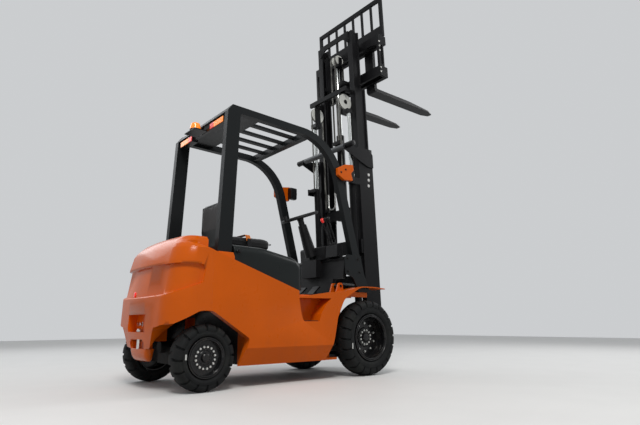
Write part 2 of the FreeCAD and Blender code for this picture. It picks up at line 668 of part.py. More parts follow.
def hood_shell(inset, drop):
    """The hood's outer form, drawn in by inset, with its rim lowered by drop."""
    rear = HOOD_REAR_X + inset
    front = HOOD_FRONT_X - inset
    foot = HOOD_GAP - drop
    body = slab_y([
        (rear, panel_z(HOOD_REAR_X) + foot), (PANEL_FRONT_X, PANEL_FRONT_Z + foot),
        (front, PANEL_FRONT_Z + foot), (front - 6, HOOD_NOSE_Z - inset, 110.0 - inset),
        (HOOD_BREAK_X, HOOD_TOP_Z - inset, 300.0), (rear, HOOD_TOP_Z - inset)],
        -HOOD_HALF_W + inset, HOOD_HALF_W - inset)
    side = HOOD_HALF_W - inset
    edges = []
    for edge in body.Edges:
        span = edge.BoundBox
        on_side = span.YLength < 1e-3 and abs(abs(span.YMax) - side) < 1e-3
        on_top = span.ZMin > PANEL_FRONT_Z + foot + 1 and span.XMax > rear + 1
        on_front = span.XMin > PANEL_FRONT_X + 1 and span.ZLength > 60
        if on_side and (on_top or on_front):
            edges.append(edge)
    return body.makeFillet(HOOD_EDGE_R - inset, edges)


def build_hood():
    rear = HOOD_REAR_X
    top = HOOD_TOP_Z
    body = hood_shell(0.0, 0.0).cut(hood_shell(HOOD_WALL, 60.0))
    plinth = slab_y([(-1400, top - 12), (HOOD_BREAK_X, top - 12), (-930, HOOD_NOSE_Z + 12),
                     (-945, top + PLINTH_H, 10), (-1385, top + PLINTH_H, 10)],
                    -PLINTH_HALF_W, PLINTH_HALF_W)
    lugs = []
    half_w = HINGE_W / 2.0
    for y in (-HINGE_Y, HINGE_Y):
        lugs.append(box(HINGE_X, rear + 45, y - half_w, y + half_w, HINGE_Z + 2, HINGE_Z + HINGE_R))
        lugs.append(box(rear + 12, rear + 45, y - half_w, y + half_w, top - 8, HINGE_Z + HINGE_R))
        lugs.append(cyl((HINGE_X, y - half_w, HINGE_Z), (0, 1, 0), HINGE_R, HINGE_W))
    bore = cyl((HINGE_X, -HINGE_Y - 100, HINGE_Z), (0, 1, 0), HINGE_PIN_R + RUN_GAP, 2 * HINGE_Y + 200)
    place("hood", fuse([body, plinth] + lugs).cut(bore))
    seat_z = top + PLINTH_H + RUN_GAP
    cushion_rear = -1345.0
    place("seat_cushion", slab_y([
        (cushion_rear, seat_z), (-900, seat_z, 20), (-880, seat_z + 92, 45), (-985, seat_z + 112, 60),
        (-1305, seat_z + 88, 30), (cushion_rear, seat_z + 88, 20)], -SEAT_HALF_W, SEAT_HALF_W))
    back_x = cushion_rear - RUN_GAP
    place("seat_back", slab_y([
        (-1374, seat_z, 4), (back_x, seat_z), (back_x, seat_z + 91), (-1300, seat_z + 112, 12),
        (-1306, seat_z + 220, 200), (-1338, SEAT_BACK_TOP_Z, 24), (-1396, SEAT_BACK_TOP_Z, 24),
        (-1394, seat_z + 170, 300)], -SEAT_BACK_HALF_W, SEAT_BACK_HALF_W))


# Overhead guard

def build_guard():
    top = GUARD_TOP_Z
    lean = math.radians(GUARD_FRONT_LEAN)
    # The tangent corner of the front bend, where the roof line meets the front leg's line.
    turn = math.radians(90.0 - GUARD_FRONT_LEAN)
    corner_x = GUARD_BEND_X + GUARD_BEND_R * math.tan(turn / 2.0)
    foot_x = corner_x + (top - GUARD_FOOT_Z) * math.tan(lean)
    leg = GUARD_FRONT_LEG_W / math.cos(lean)
    height = GUARD_RAIL_H
    inner_r = GUARD_BEND_R - height
    inner_corner_x = corner_x - leg + height * math.tan(lean)
    rear_top = GUARD_REAR_TOP_X
    rear_foot = GUARD_REAR_FOOT_X
    y0 = GUARD_IN_Y
    y1 = GUARD_OUT_Y
    outer = slab_y([(rear_foot, GUARD_REAR_FOOT_Z), (rear_top, top - GUARD_CHAMFER_Z, 12),
                    (rear_top + GUARD_CHAMFER_X, top, 12), (corner_x, top, GUARD_BEND_R),
                    (foot_x, GUARD_FOOT_Z)], y0, y1)
    rear_slope = (rear_top - rear_foot) / (top - GUARD_REAR_FOOT_Z)
    low_z = GUARD_FOOT_Z - 400
    leg_in = rear_foot + GUARD_REAR_LEG_W
    hole = slab_y([(leg_in - rear_slope * (GUARD_REAR_FOOT_Z - low_z), low_z),
                   (rear_top + GUARD_REAR_LEG_W, top - height, 20), (inner_corner_x, top - height, inner_r),
                   (foot_x - leg + (GUARD_FOOT_Z - low_z) * math.tan(lean), low_z)], y0 - 1, y1 + 1)
    rear_low = box(-2000, -1000, y0 - 5, y1 + 5, 0, GUARD_REAR_FOOT_Z)
    front_low = box(-1000, 400, y0 - 5, y1 + 5, 0, GUARD_FOOT_Z)
    half = outer.cut(hole).cut(rear_low).cut(front_low)
    under = top - height
    rear_plate = box(rear_top + GUARD_CHAMFER_X + 10, ROOF_PLATE_X, -y0, y0, top - 34, top - 6)
    bar_x = rear_top + GUARD_CHAMFER_X
    rear_bar = slab_y([(rear_top + 2, under), (rear_top + 2, top - GUARD_CHAMFER_Z), (bar_x + 2, top - 2),
                       (bar_x + ROOF_BAR_W, top - 2), (bar_x + ROOF_BAR_W, under)], -y0, y0)
    front_bar = box(ROOF_FRONT_X, ROOF_FRONT_X + ROOF_BAR_W, -y0, y0, under, top - 4)
    slats = []
    pitch = 2.0 * y0 / (SLAT_COUNT + 1)
    for i in range(SLAT_COUNT):
        y = -y0 + pitch * (i + 1)
        slats.append(box(ROOF_PLATE_X - 1, ROOF_FRONT_X + 1, y - SLAT_W / 2, y + SLAT_W / 2,
                         top - 6 - SLAT_H, top - 6))
    foot_bar = box(rear_foot + 30, rear_foot + 62, -y0, y0, GUARD_REAR_FOOT_Z,
                   GUARD_REAR_FOOT_Z + FOOT_BAR_H)
    body = fuse([half, mirrored(half), rear_plate, rear_bar, front_bar, foot_bar] + slats)
    foot = slab_y([(foot_x - 120, GUARD_FOOT_Z), (foot_x + 30, GUARD_FOOT_Z), (foot_x - 45, 925, 60),
                   (foot_x - 85, 1085, 14), (foot_x - 262, 1085, 20), (foot_x - 290, 1050, 14),
                   (foot_x - 285, 902, 14), (foot_x - 190, 880, 50)], y1, y1 + FOOT_PLATE_T)
    place("overhead_guard", Part.makeCompound([body, foot, mirrored(foot)]))


# Cowl, floor and controls

def build_cockpit():
    sheet_top = DECK_Z + FLOOR_T
    sheet = box(HOOD_FRONT_X + 6, -262, -470, 470, DECK_Z, sheet_top)
    sheet = sheet.cut(both(box(-345, -200, TILT_Y - 60, 480, DECK_Z - 5, sheet_top + 40)))
    sheet = sheet.cut(both(box(-384, -200, FENDER_IN_Y - MOVE_GAP, 480, DECK_Z - 5, sheet_top + 40)))
    place("floor_plate", sheet)
    panel = slab_y([(-262, DECK_Z), (-225, DECK_Z), (-178, COWL_TOP_Z, 12), (-235, COWL_TOP_Z, 20),
                    (-225, COWL_TOP_Z - 40, 20)], -COWL_HALF_W, COWL_HALF_W)
    panel = panel.cut(both(box(-400, 0, TILT_Y - 64, 500, DECK_Z - 5, TILT_Z + 72)))
    foot = V(*COLUMN_FOOT)
    hub = V(*WHEEL_HUB)
    axis = hub - foot
    length = axis.Length
    axis.normalize()
    column = Part.makeCylinder(30, length - 32 - RUN_GAP, foot, axis)
    shroud = Part.makeCone(62, 42, length * 0.62, foot + axis * (length * 0.22), axis)
    base = box(-300, -200, -110, 110, 900, COWL_TOP_Z - 5)
    pod = slab_y([(-250, COWL_TOP_Z - 10), (-185, COWL_TOP_Z - 10), (-170, COWL_TOP_Z + 110, 15),
                  (-262, COWL_TOP_Z + 135, 25)], -190, 190)
    place("cowl", fuse([panel, base, column, shroud, pod]))

    lever_root_z = COWL_TOP_Z + 110
    lever_way = V(-0.42, 0, 1).normalize()
    foot_z = COWL_TOP_Z + RUN_GAP
    pieces = [slab_y([(-268, foot_z), (-190, foot_z), (-185, COWL_TOP_Z + 90, 12),
                      (-212, COWL_TOP_Z + 125, 12), (-262, COWL_TOP_Z + 115, 12)], -375, -215)]
    for i in range(3):
        root = V(-232, -250.0 - 42.0 * i, lever_root_z)
        pieces.append(Part.makeCylinder(6.5, 265, root, lever_way))
        pieces.append(Part.makeSphere(17, root + lever_way * 270))
    pedals = []
    for y, w in ((-150, 90), (60, 110)):
        pad = slab_y([(-420, 725), (-405, 719), (-315, 800), (-330, 808)], y - w / 2, y + w / 2)
        pedals.append(pad.fuse(box(-356, -338, y - 10, y + 10, sheet_top + RUN_GAP, 775)))
    place("controls", Part.makeCompound([fuse(pieces)] + pedals))

    rim_wire = Part.makeTorus(STEER_RIM_R, STEER_GRIP_R)
    hub_disc = Part.makeCylinder(34, 30, V(0, 0, -32))
    spokes = [Part.makeBox(STEER_RIM_R - 8, 22, 8, V(0, -11, -12)) for _ in range(3)]
    for i, spoke in enumerate(spokes):
        spoke.rotate(V(0, 0, 0), V(0, 0, 1), 90 + 120 * i)
    knob = Part.makeCylinder(17, 52, V(-STEER_RIM_R, 0, 0))
    wheel = fuse([rim_wire, hub_disc, knob] + spokes)
    wheel.Placement = FreeCAD.Placement(hub, FreeCAD.Rotation(V(0, 0, 1), axis))
    place("steering_wheel", wheel)


def build_lamps():
    under = GUARD_TOP_Z - GUARD_RAIL_H
    sx, sy, sz = (size / 2.0 for size in LAMP_SIZE)
    bar = box(LAMP_X - 12, LAMP_X + 12, -LAMP_Y, LAMP_Y, LAMP_Z - 14, LAMP_Z + 14)
    pieces = [bar]
    for s in (-1, 1):
        pieces.append(box(LAMP_X - sx, LAMP_X + sx, s * LAMP_Y - sy, s * LAMP_Y + sy,
                          LAMP_Z - sz, LAMP_Z + sz))
        pieces.append(box(LAMP_X - 12, LAMP_X + 12, s * 150 - 20, s * 150 + 20, LAMP_Z, under - RUN_GAP))
    place("rear_lamps", fuse(pieces))
    plate_z = BEACON_Z - 44
    stem_x = LAMP_X - 18
    plate = box(BEACON_X - 55, stem_x, -95, 95, plate_z - 8, plate_z)
    stem = box(GUARD_REAR_TOP_X + 4, stem_x, -30, 30, plate_z - 1, under - RUN_GAP)
    base = cyl((BEACON_X, 0, plate_z), (0, 0, 1), 50.0, 20.0)
    dome = Part.makeCone(47, 36, 54, V(BEACON_X, 0, plate_z + 20))
    place("beacon", fuse([plate, stem, base, dome]))
    brackets = []
    lamps = []
    x0, x1, z0, z1 = HEAD_LAMP
    for turn in (lambda s: s, mirrored):
        plate = slab_y([(-373, 1831, 12), (-297, 1795, 12), (-176, 1804, 12), (-202, 1875, 20),
                        (-166, 1913, 12), (-172, 1969, 12), (-280, 1950, 14), (-373, 1899, 12)],
                       GUARD_OUT_Y + RUN_GAP, GUARD_OUT_Y + 34)
        lamp = slab_x([(GUARD_OUT_Y - 66, z0, 18), (GUARD_OUT_Y, z0, 18), (GUARD_OUT_Y, z1, 18),
                       (GUARD_OUT_Y - 66, z1, 18)], x0, x1)
        brackets.append(turn(plate))
        lamps.append(turn(lamp))
    place("lamp_brackets", Part.makeCompound(brackets))
    place("head_lamps", Part.makeCompound(lamps))


# Mast

def rail_edges(level):
    """Front and rear U and outer Y of one stage's upright: level 0 outer, 1 middle, 2 inner."""
    step = level * (OUTER_FLANGE + MOVE_GAP)
    return OUTER_FRONT_U - step, OUTER_REAR_U + step, OUTER_HALF_W - level * RAIL_STEP_Y


def upright(level, bottom, top):
    """One upright on the left side: a channel, on the moving stages with flange stubs outwards."""
    front, rear, out = rail_edges(level)
    stub = RAIL_STUB if level else 0.0
    lip = out - OUTER_LIP
    web = out - OUTER_WEB
    profile = [(rear, out + stub), (rear, lip), (rear + OUTER_FLANGE, lip), (rear + OUTER_FLANGE, web),
               (front - OUTER_FLANGE, web), (front - OUTER_FLANGE, lip), (front, lip), (front, out + stub)]
    if stub:
        profile += [(front - OUTER_FLANGE, out + stub), (front - OUTER_FLANGE, out),
                    (rear + OUTER_FLANGE, out), (rear + OUTER_FLANGE, out + stub)]
    return slab_z(profile, bottom, top)


def wear_pads(level, bottom):
    """Slide blocks at the foot of a moving stage, which fill the gap to the stage around it."""
    front, rear, out = rail_edges(level)
    thick = MOVE_GAP - RUN_GAP
    pads = [box(front, front + thick, out - 30, out - 4, bottom + 10, bottom + 130),
            box(rear - thick, rear, out - 30, out - 4, bottom + 10, bottom + 130)]
    return pads + [mirrored(pad) for pad in pads]


def stage_top(level):
    return MAST_TOP_Z - 6.0 * level


def stage_bottom(level):
    """Foot of a stage where it stands at rest, its lift included."""
    return MAST_BOTTOM_Z + STAGE_STEP_Z * level + LIFT_AT_REST * level


def build_outer_mast():
    top = MAST_TOP_Z
    front, rear, out = rail_edges(0)
    tube_u = TIE_BAR_U
    wing = slab_y([(rear - 30, top - 16), (tube_u - 32, TIE_BAR_Z + 30, 30),
                   (tube_u - 34, TIE_BAR_Z - 40, 30), (rear - 20, top - 148, 60),
                   (front - 75, top - 205, 70), (front, top - 205),
                   (front, top - 60, 20), (front - 60, top - 10, 20)],
                  out, out + OUTER_WEB)
    hanger = slab_y([(rear + 15, AXLE_Z - 120, 12), (rear + 15, AXLE_Z + 190, 12),
                     (rear - 20, AXLE_Z + 190, 20), (-40, AXLE_Z + 92, 60), (-92, AXLE_Z, 60),
                     (-40, AXLE_Z - 92, 60)], out - 55, out - 13)
    hanger = hanger.cut(cyl((0, 0, AXLE_Z), (0, 1, 0), AXLE_TUBE_R + RUN_GAP, out + 10))
    lug = slab_y([(rear + 2, TILT_Z - 75), (rear + 2, TILT_Z + 75), (TILT_LUG_U - 18, TILT_Z + 28, 20),
                  (TILT_LUG_U - 26, TILT_Z, 10), (TILT_LUG_U - 18, TILT_Z - 28, 20)],
                 out - OUTER_WEB, out)
    pin = cyl((TILT_LUG_U, out - OUTER_WEB, TILT_Z), (0, 1, 0), TILT_PIN_R, 48)
    # the lift chain's anchor: an arm behind the barrel, carried by a plate outside it
    chain_u = ROD_U - PULLEY_R + 1
    anchor = fuse([
        box(chain_u - 6, chain_u + 22, PULLEY_Y - 12, out, CHAIN_ANCHOR_Z - 30, CHAIN_ANCHOR_Z),
        box(chain_u - 6, rear + 10, out - OUTER_WEB, out, CHAIN_ANCHOR_Z - 60, CHAIN_ANCHOR_Z + 10)])
    half = fuse([upright(0, MAST_BOTTOM_Z, top), wing, hanger, lug, pin, anchor])
    # cross members sit behind the uprights so that the inner stages pass in front of them
    low_cross = box(rear - CROSS_T, rear, 20 - out, out - 20, 140, 300)
    mid_cross = box(rear - CROSS_T - 6, rear - 6, -238, 238, 1150, 1290)
    mid_arm = box(rear - CROSS_T - 6, rear, 232, out - 4, 1150, 1290)
    tie = cyl((tube_u, -TIE_BAR_Y, TIE_BAR_Z), (0, 1, 0), TIE_BAR_R, 2 * TIE_BAR_Y)
    cradle = box(ROD_U - 44, rear, ROD_Y - 36, ROD_Y + 30, LIFT_FOOT_Z - 23, LIFT_FOOT_Z - RUN_GAP)
    body = fuse([half, mirrored(half), low_cross, mid_cross, tie, mid_arm, mirrored(mid_arm), cradle,
                 mirrored(cradle)])
    clear = LIFT_BARREL_R + RUN_GAP
    place("outer_mast", body.cut(both(cyl((ROD_U, ROD_Y, LIFT_FOOT_Z - RUN_GAP), (0, 0, 1), clear, 1800))),
          True)

    barrels = []
    for s in (-1, 1):
        barrel = cyl((ROD_U, s * ROD_Y, LIFT_FOOT_Z), (0, 0, 1), LIFT_BARREL_R, GLAND_Z - LIFT_FOOT_Z)
        gland = cyl((ROD_U, s * ROD_Y, GLAND_Z - GLAND_H), (0, 0, 1), LIFT_BARREL_R + 4, GLAND_H)
        inside = cyl((ROD_U, s * ROD_Y, LIFT_FOOT_Z + 40), (0, 0, 1), LIFT_ROD_R + 8,
                     GLAND_Z - LIFT_FOOT_Z - 110)
        bore = cyl((ROD_U, s * ROD_Y, LIFT_FOOT_Z + 40), (0, 0, 1), LIFT_ROD_R + RUN_GAP, GLAND_Z)
        barrels.append(barrel.fuse(gland).cut(inside).cut(bore))
    place("lift_barrels", Part.makeCompound(barrels), True)


def build_middle_mast():
    top = stage_top(1) + LIFT_AT_REST
    bottom = stage_bottom(1)
    front, rear, out = rail_edges(1)
    axle_z = top - PULLEY_DROP
    back = ROD_U - 46
    # everything between the pulleys and the lips of the outer stage's rails
    cross_y = OUTER_HALF_W - OUTER_LIP - MOVE_GAP
    head = box(back, rear + OUTER_FLANGE, cross_y - 24, cross_y, top - 70, top - 28)
    hanger_y = PULLEY_Y - PULLEY_W
    foot_z = axle_z - PULLEY_R - 60
    hanger = box(back, ROD_U + 30, hanger_y, hanger_y + 10, foot_z, top - 30)
    block = box(ROD_U - 38, ROD_U + 38, hanger_y, ROD_Y + LIFT_ROD_R + 2, foot_z, axle_z - PULLEY_R - 14)
    pin = cyl((ROD_U, hanger_y, axle_z), (0, 1, 0), PULLEY_PIN_R, PULLEY_W + PULLEY_W / 2 + 4)
    bar = box(back, back + 28, -out + 5, out - 5, top - 74, top - 24)
    half = fuse([upright(1, bottom, top), head, hanger, block, pin])
    low_cross = box(rear - OUTER_FLANGE, rear, -cross_y, cross_y, bottom + 10, bottom + 120)
    place("middle_mast", fuse([half, mirrored(half), bar, low_cross] + wear_pads(1, bottom)), True)

    rods = [cyl((ROD_U, s * ROD_Y, LIFT_ROD_FOOT_Z), (0, 0, 1), LIFT_ROD_R,
                foot_z - RUN_GAP - LIFT_ROD_FOOT_Z) for s in (-1, 1)]
    place("lift_rods", Part.makeCompound(rods), True)

    wheels = []
    for s in (-1, 1):
        y = s * PULLEY_Y
        disc = ring((ROD_U, y - PULLEY_W / 2, axle_z), (0, 1, 0), PULLEY_R, PULLEY_PIN_R + RUN_GAP,
                    PULLEY_W)
        groove = ring((ROD_U, y - LIFT_CHAIN_W / 2 - 1, axle_z), (0, 1, 0), PULLEY_R + 5, PULLEY_R - 14,
                      LIFT_CHAIN_W + 2)
        wheels.append(disc.cut(groove))
    place("chain_pulleys", Part.makeCompound(wheels), True)


def build_inner_mast():
    lift = 2 * LIFT_AT_REST
    top = stage_top(2) + lift
    bottom = stage_bottom(2)
    front, rear, out = rail_edges(2)
    half = out - 36
    plate = slab_x([(-half, top - 125), (-215, top - 125), (-150, top - 60, 60), (150, top - 60, 60),
                    (215, top - 125), (half, top - 125), (half, top + 4), (-half, top + 4)], rear - 14, rear)
    low_cross = box(rear - 14, rear, -half, half, bottom + 10, bottom + 120)
    low_cross = low_cross.cut(cyl((FREE_U, 0, bottom), (0, 0, 1), FREE_BARREL_R + RUN_GAP, 200))
    foot = box(rear - 14, FREE_U + FREE_BARREL_R, -FREE_BARREL_R - 20, FREE_BARREL_R + 20, bottom,
               bottom + 12 - RUN_GAP)
    # where the lift chains end, above the middle stage's cross member when all is down
    chain_u = ROD_U + PULLEY_R - 13
    anchor = box(chain_u - 2, rear, PULLEY_Y - 14, PULLEY_Y + 14, bottom + 130, bottom + 160)
    anchor = anchor.fuse(box(rear - 14, rear, PULLEY_Y - 22, half, bottom + 100, bottom + 160))
    stage = upright(2, bottom, top)
    place("inner_mast", fuse([stage, mirrored(stage), plate, low_cross, foot, anchor, mirrored(anchor)]
                             + wear_pads(2, bottom)), True)

    gland_z = FREE_GLAND_Z + lift
    foot_z = bottom + 12
    barrel = ring((FREE_U, 0, foot_z), (0, 0, 1), FREE_BARREL_R, FREE_ROD_R + 8, gland_z - foot_z - 50)
    base = cyl((FREE_U, 0, foot_z), (0, 0, 1), FREE_BARREL_R, 30)
    gland = ring((FREE_U, 0, gland_z - 51), (0, 0, 1), FREE_BARREL_R, FREE_ROD_R + RUN_GAP, 51)
    rear_u = FREE_U - FREE_PULLEY_R - CHAIN_T
    anchor = box(rear_u + 1, FREE_U - 20, -60, 60, gland_z - 110, gland_z - 70)
    anchor = anchor.cut(cyl((FREE_U, 0, gland_z - 200), (0, 0, 1), FREE_BARREL_R - 2, 400))
    place("free_lift_barrel", fuse([barrel, base, gland, anchor]), True)


def build_free_head():
    lift = 2 * LIFT_AT_REST
    z = FREE_HEAD_Z + lift
    rod_bottom = FREE_GLAND_Z + lift - 90
    rod = cyl((FREE_U, 0, rod_bottom), (0, 0, 1), FREE_ROD_R, z - 60 - rod_bottom)
    yoke = box(FREE_U - 34, FREE_U + 34, -70, 70, z - 84, z - 58)
    cheeks = [box(FREE_U - 24, FREE_U + 24, y - 5, y + 5, z - 60, z + 26) for y in (-62, 0, 62)]
    shaft = cyl((FREE_U, -67, z), (0, 1, 0), 12, 134)
    discs = []
    for s in (-1, 1):
        disc = cyl((FREE_U, s * CHAIN_Y - 15, z), (0, 1, 0), FREE_PULLEY_R + 6, 30)
        discs.append(disc.cut(ring((FREE_U, s * CHAIN_Y - 11, z), (0, 1, 0), FREE_PULLEY_R + 10,
                                   FREE_PULLEY_R - 2, 22)))
    place("free_lift_head", fuse([rod, yoke, shaft] + cheeks + discs), True)

    anchor_z = FREE_GLAND_Z + lift - 70 + RUN_GAP
    lug_z = CARRIAGE_Z + CHAIN_LUG_Z + RUN_GAP
    place("free_lift_chains", Part.makeCompound([
        hung_chain(FREE_U, s * CHAIN_Y, CHAIN_W, z, FREE_PULLEY_R, anchor_z, lug_z)
        for s in (-1, 1)]), True)


def hung_chain(u, y, width, axle_z, groove_r, rear_z, front_z):
    """A leaf chain over a pulley, its two strands hanging behind and in front of it."""
    y0 = y - width / 2
    y1 = y + width / 2
    outer_r = groove_r + CHAIN_T
    rear = box(u - outer_r, u - groove_r, y0, y1, rear_z, axle_z)
    front = box(u + groove_r, u + outer_r, y0, y1, front_z, axle_z)
    wrap = ring((u, y0, axle_z), (0, 1, 0), outer_r, groove_r, width).common(
        box(u - 300, u + 300, y0 - 1, y1 + 1, axle_z, axle_z + 300))
    return fuse([rear, wrap, front])


def build_lift_chains():
    axle_z = stage_top(1) + LIFT_AT_REST - PULLEY_DROP
    place("lift_chains", Part.makeCompound([
        hung_chain(ROD_U, s * PULLEY_Y, LIFT_CHAIN_W, axle_z, PULLEY_R - 13, CHAIN_ANCHOR_Z + RUN_GAP,
                   stage_bottom(2) + 160 + RUN_GAP) for s in (-1, 1)]), True)


# Carriage

def build_carriage():
    z0 = CARRIAGE_Z
    z1 = z0 + CARRIAGE_H
    back = CARRIAGE_BACK_U
    u0 = CARRIAGE_U
    u1 = CARRIAGE_FACE_U
    w = CARRIAGE_HALF_W
    front, rear, inner_out = rail_edges(2)
    pieces = [slab_x([(-w, z1 - BAR_H_UP), (w, z1 - BAR_H_UP), (w, z1 - 12, 8), (w - 12, z1), (-w + 12, z1),
                      (-w, z1 - 12, 8)], u0, u1),
              box(u0, u1, -w, w, z0, z0 + BAR_H_LOW),
              box(back, back + BACK_BAR_T, -w, w, z1 - BAR_H_UP, z1 - 12),
              box(back, back + BACK_BAR_T, -w, w, z0 + 12, z0 + BAR_H_LOW)]
    cheek = slab_y([(back, z0 + 12, 14), (u0 + 1, z0), (u0 + 1, z1), (back + 30, z1, 20),
                    (back, z1 - 40, 20)], w - CHEEK_T, w)
    window = slab_y([(back + 28, z0 + BAR_H_LOW + 20, 12), (u0 - 16, z0 + BAR_H_LOW + 20, 12),
                     (u0 - 16, z1 - BAR_H_UP - 20, 12), (back + 28, z1 - BAR_H_UP - 20, 12)],
                    w - CHEEK_T - 1, w + 1)
    cheek = cheek.cut(window)
    roller_reach = 8 + ROLLER_PLATE_T / 2 + OUTER_LIP - OUTER_WEB - MOVE_GAP
    channel = front - rear
    y = inner_out - OUTER_LIP - 8 - ROLLER_PLATE_T / 2
    half_t = ROLLER_PLATE_T / 2
    plate = slab_y([(back + 2, z0 + 12), (back + 2, z1 - 12), (rear + 60, z1 - 12), (rear + 30, z1 - 60, 30),
                    (rear + 30, z0 + 60, 30), (rear + 60, z0 + 12)], y - half_t, y + half_t)
    spacer = box(back, u0 + 2, y - half_t, y + half_t, z0 + 20, z0 + 100)
    half = [cheek, plate, spacer]
    for z in (z0 + 70, z1 - 70):
        half.append(cyl((rear + channel / 2, y, z), (0, 1, 0), channel / 2 - OUTER_FLANGE - RUN_GAP,
                        roller_reach))
    # the chains end in a lug behind the lower rear bar
    lug_z = z0 + CHAIN_LUG_Z
    lug = box(FREE_U + FREE_PULLEY_R - 2, back + 2, -CHAIN_Y - 14, CHAIN_Y + 14, lug_z - 34, lug_z)
    place("carriage", fuse(pieces + half + [mirrored(piece) for piece in half] + [lug]), True)

    top = z0 - FORK_DROP + BACKREST_TOP
    b0 = u0 + 4
    b1 = b0 + BACKREST_T
    posts = [box(b0, b1, s * (w - 18) - 18, s * (w - 18) + 18, z1 + RUN_GAP, top) for s in (-1, 1)]
    low_rail = box(b0, b1, -w, w, z1 + 43, z1 + 133)
    top_rail = box(b0, b1, -w, w, top - 45, top)
    bars = []
    pitch = (2 * w - 36) / (BACKREST_BARS + 1)
    for i in range(BACKREST_BARS):
        y = -w + 18 + pitch * (i + 1)
        bars.append(box(b0 + 4, b1 - 8, y - BACKREST_BAR_W / 2, y + BACKREST_BAR_W / 2, z1 + 120, top - 40))
    place("load_backrest", fuse(posts + [low_rail, top_rail] + bars), True)

    bottom = z0 - FORK_DROP
    face = u1 + RUN_GAP
    heel = face + FORK_T
    tip = heel + FORK_LENGTH
    fork = slab_y([
        (face, bottom, 35), (face, z1 + RUN_GAP), (face - BAR_T - 20, z1 + RUN_GAP),
        (face - BAR_T - 20, z1 + 32, 8), (heel, z1 + 32, 12), (heel, bottom + FORK_T, 14),
        (heel + FORK_LENGTH * 0.55, bottom + FORK_T), (tip, bottom + FORK_TIP_T, 4), (tip, bottom, 4)],
        FORK_Y - FORK_W / 2, FORK_Y + FORK_W / 2)
    for s in (-1, 1):
        edge = FORK_Y + s * (FORK_W / 2 + 5)
        inward = FORK_Y + s * 28
        corner = [(tip - FORK_TIP_LONG, edge), (tip + 5, edge), (tip + 5, inward)]
        fork = fork.cut(slab_z(corner if s < 0 else corner[::-1], bottom - 5, bottom + 60))
    place("fork_left", fork, True)
    place("fork_right", mirrored(fork), True)


def build_tilt_cylinders():
    lug_x, lug_z = leaned(TILT_LUG_U, TILT_Z)
    start = V(TILT_REAR_X, TILT_Y, TILT_Z)
    end = V(lug_x, TILT_Y, lug_z)
    axis = end - start
    length = axis.Length
    axis.normalize()
    eye = cyl((TILT_REAR_X, TILT_Y - TILT_EYE_W / 2, TILT_Z), (0, 1, 0), TILT_EYE_R, TILT_EYE_W)
    tube = Part.makeCylinder(TILT_BARREL_R, TILT_BARREL_L - 22, start + axis * 22, axis)
    bore = Part.makeCylinder(TILT_ROD_R + RUN_GAP, TILT_BARREL_L, start + axis * 30, axis)
    pin = cyl((TILT_REAR_X, TILT_Y - 56, TILT_Z), (0, 1, 0), TILT_PIN_R, 112)
    barrel = fuse([eye, tube, pin]).cut(bore)
    rod = Part.makeCylinder(TILT_ROD_R, length - 18 - TILT_ROD_IN, start + axis * TILT_ROD_IN, axis)
    rod_eye = Part.makeCylinder(TILT_EYE_R, 26, V(lug_x, TILT_Y - 15, lug_z), V(0, 1, 0))
    rod_eye = fuse([rod, rod_eye]).cut(
        Part.makeCylinder(TILT_PIN_R + TILT_EYE_PLAY, 60, V(lug_x, TILT_Y - 30, lug_z), V(0, 1, 0)))
    for side, turn in (("left", lambda s: s), ("right", mirrored)):
        place("tilt_barrel_" + side, turn(barrel))
        place("tilt_rod_" + side, turn(rod_eye))


def main():
    build_wheels()
    build_axles()
    build_frame()
    build_counterweight()
    build_battery()
    build_hood()
    build_guard()
    build_cockpit()
    build_lamps()
    build_outer_mast()
    build_middle_mast()
    build_inner_mast()
    build_free_head()
    build_lift_chains()
    build_carriage()
    build_tilt_cylinders()
    os.makedirs("parts", exist_ok=True)
    for name, shape in EXPORTS.items():
        print(name, len(shape.Solids), shape.isValid(), round(shape.Volume / 1e6, 2))
        shape.exportStep("parts/" + name + ".step")


main()
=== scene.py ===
"""Finishes a four-wheel battery forklift: paint, castings, tyres, seat, chains, lamps and small fittings.

Lengths are metres in the truck's own frame: +X towards the forks, +Y to the driver's left, +Z up.
The mast's own parts are worked out as if the mast stood upright and are then leaned back with lean().
"""
import json
import math

import bmesh
import bpy
import numpy as np
from bpy.props import FloatProperty, FloatVectorProperty, IntProperty, PointerProperty
from mathutils import Matrix, Vector
from mathutils.bvhtree import BVHTree


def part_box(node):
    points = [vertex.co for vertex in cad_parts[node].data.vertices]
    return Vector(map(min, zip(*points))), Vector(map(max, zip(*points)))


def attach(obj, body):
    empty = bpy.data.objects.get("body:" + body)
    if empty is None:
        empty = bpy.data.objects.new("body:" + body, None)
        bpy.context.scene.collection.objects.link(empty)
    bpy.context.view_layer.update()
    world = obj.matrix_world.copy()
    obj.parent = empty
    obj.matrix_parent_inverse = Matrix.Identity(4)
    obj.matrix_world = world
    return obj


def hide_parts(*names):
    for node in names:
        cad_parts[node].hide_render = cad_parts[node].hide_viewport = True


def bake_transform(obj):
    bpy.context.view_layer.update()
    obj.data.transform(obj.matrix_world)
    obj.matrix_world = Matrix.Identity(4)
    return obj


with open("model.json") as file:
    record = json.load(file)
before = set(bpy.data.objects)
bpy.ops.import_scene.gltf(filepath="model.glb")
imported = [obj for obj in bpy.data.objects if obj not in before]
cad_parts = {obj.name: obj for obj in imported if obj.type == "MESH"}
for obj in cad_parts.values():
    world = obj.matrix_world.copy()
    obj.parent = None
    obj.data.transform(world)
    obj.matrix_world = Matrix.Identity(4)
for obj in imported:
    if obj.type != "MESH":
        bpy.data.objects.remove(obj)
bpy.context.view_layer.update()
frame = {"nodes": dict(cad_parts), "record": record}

bl_info = {
    "name": "Forklift Finish",
    "version": (1, 0, 0),
    "blender": (4, 5, 0),
    "location": "View3D > Sidebar > Forklift",
    "description": "Dresses a battery forklift with paint, tyres, seat, chains, hoses and lamps",
    "category": "Object",
}


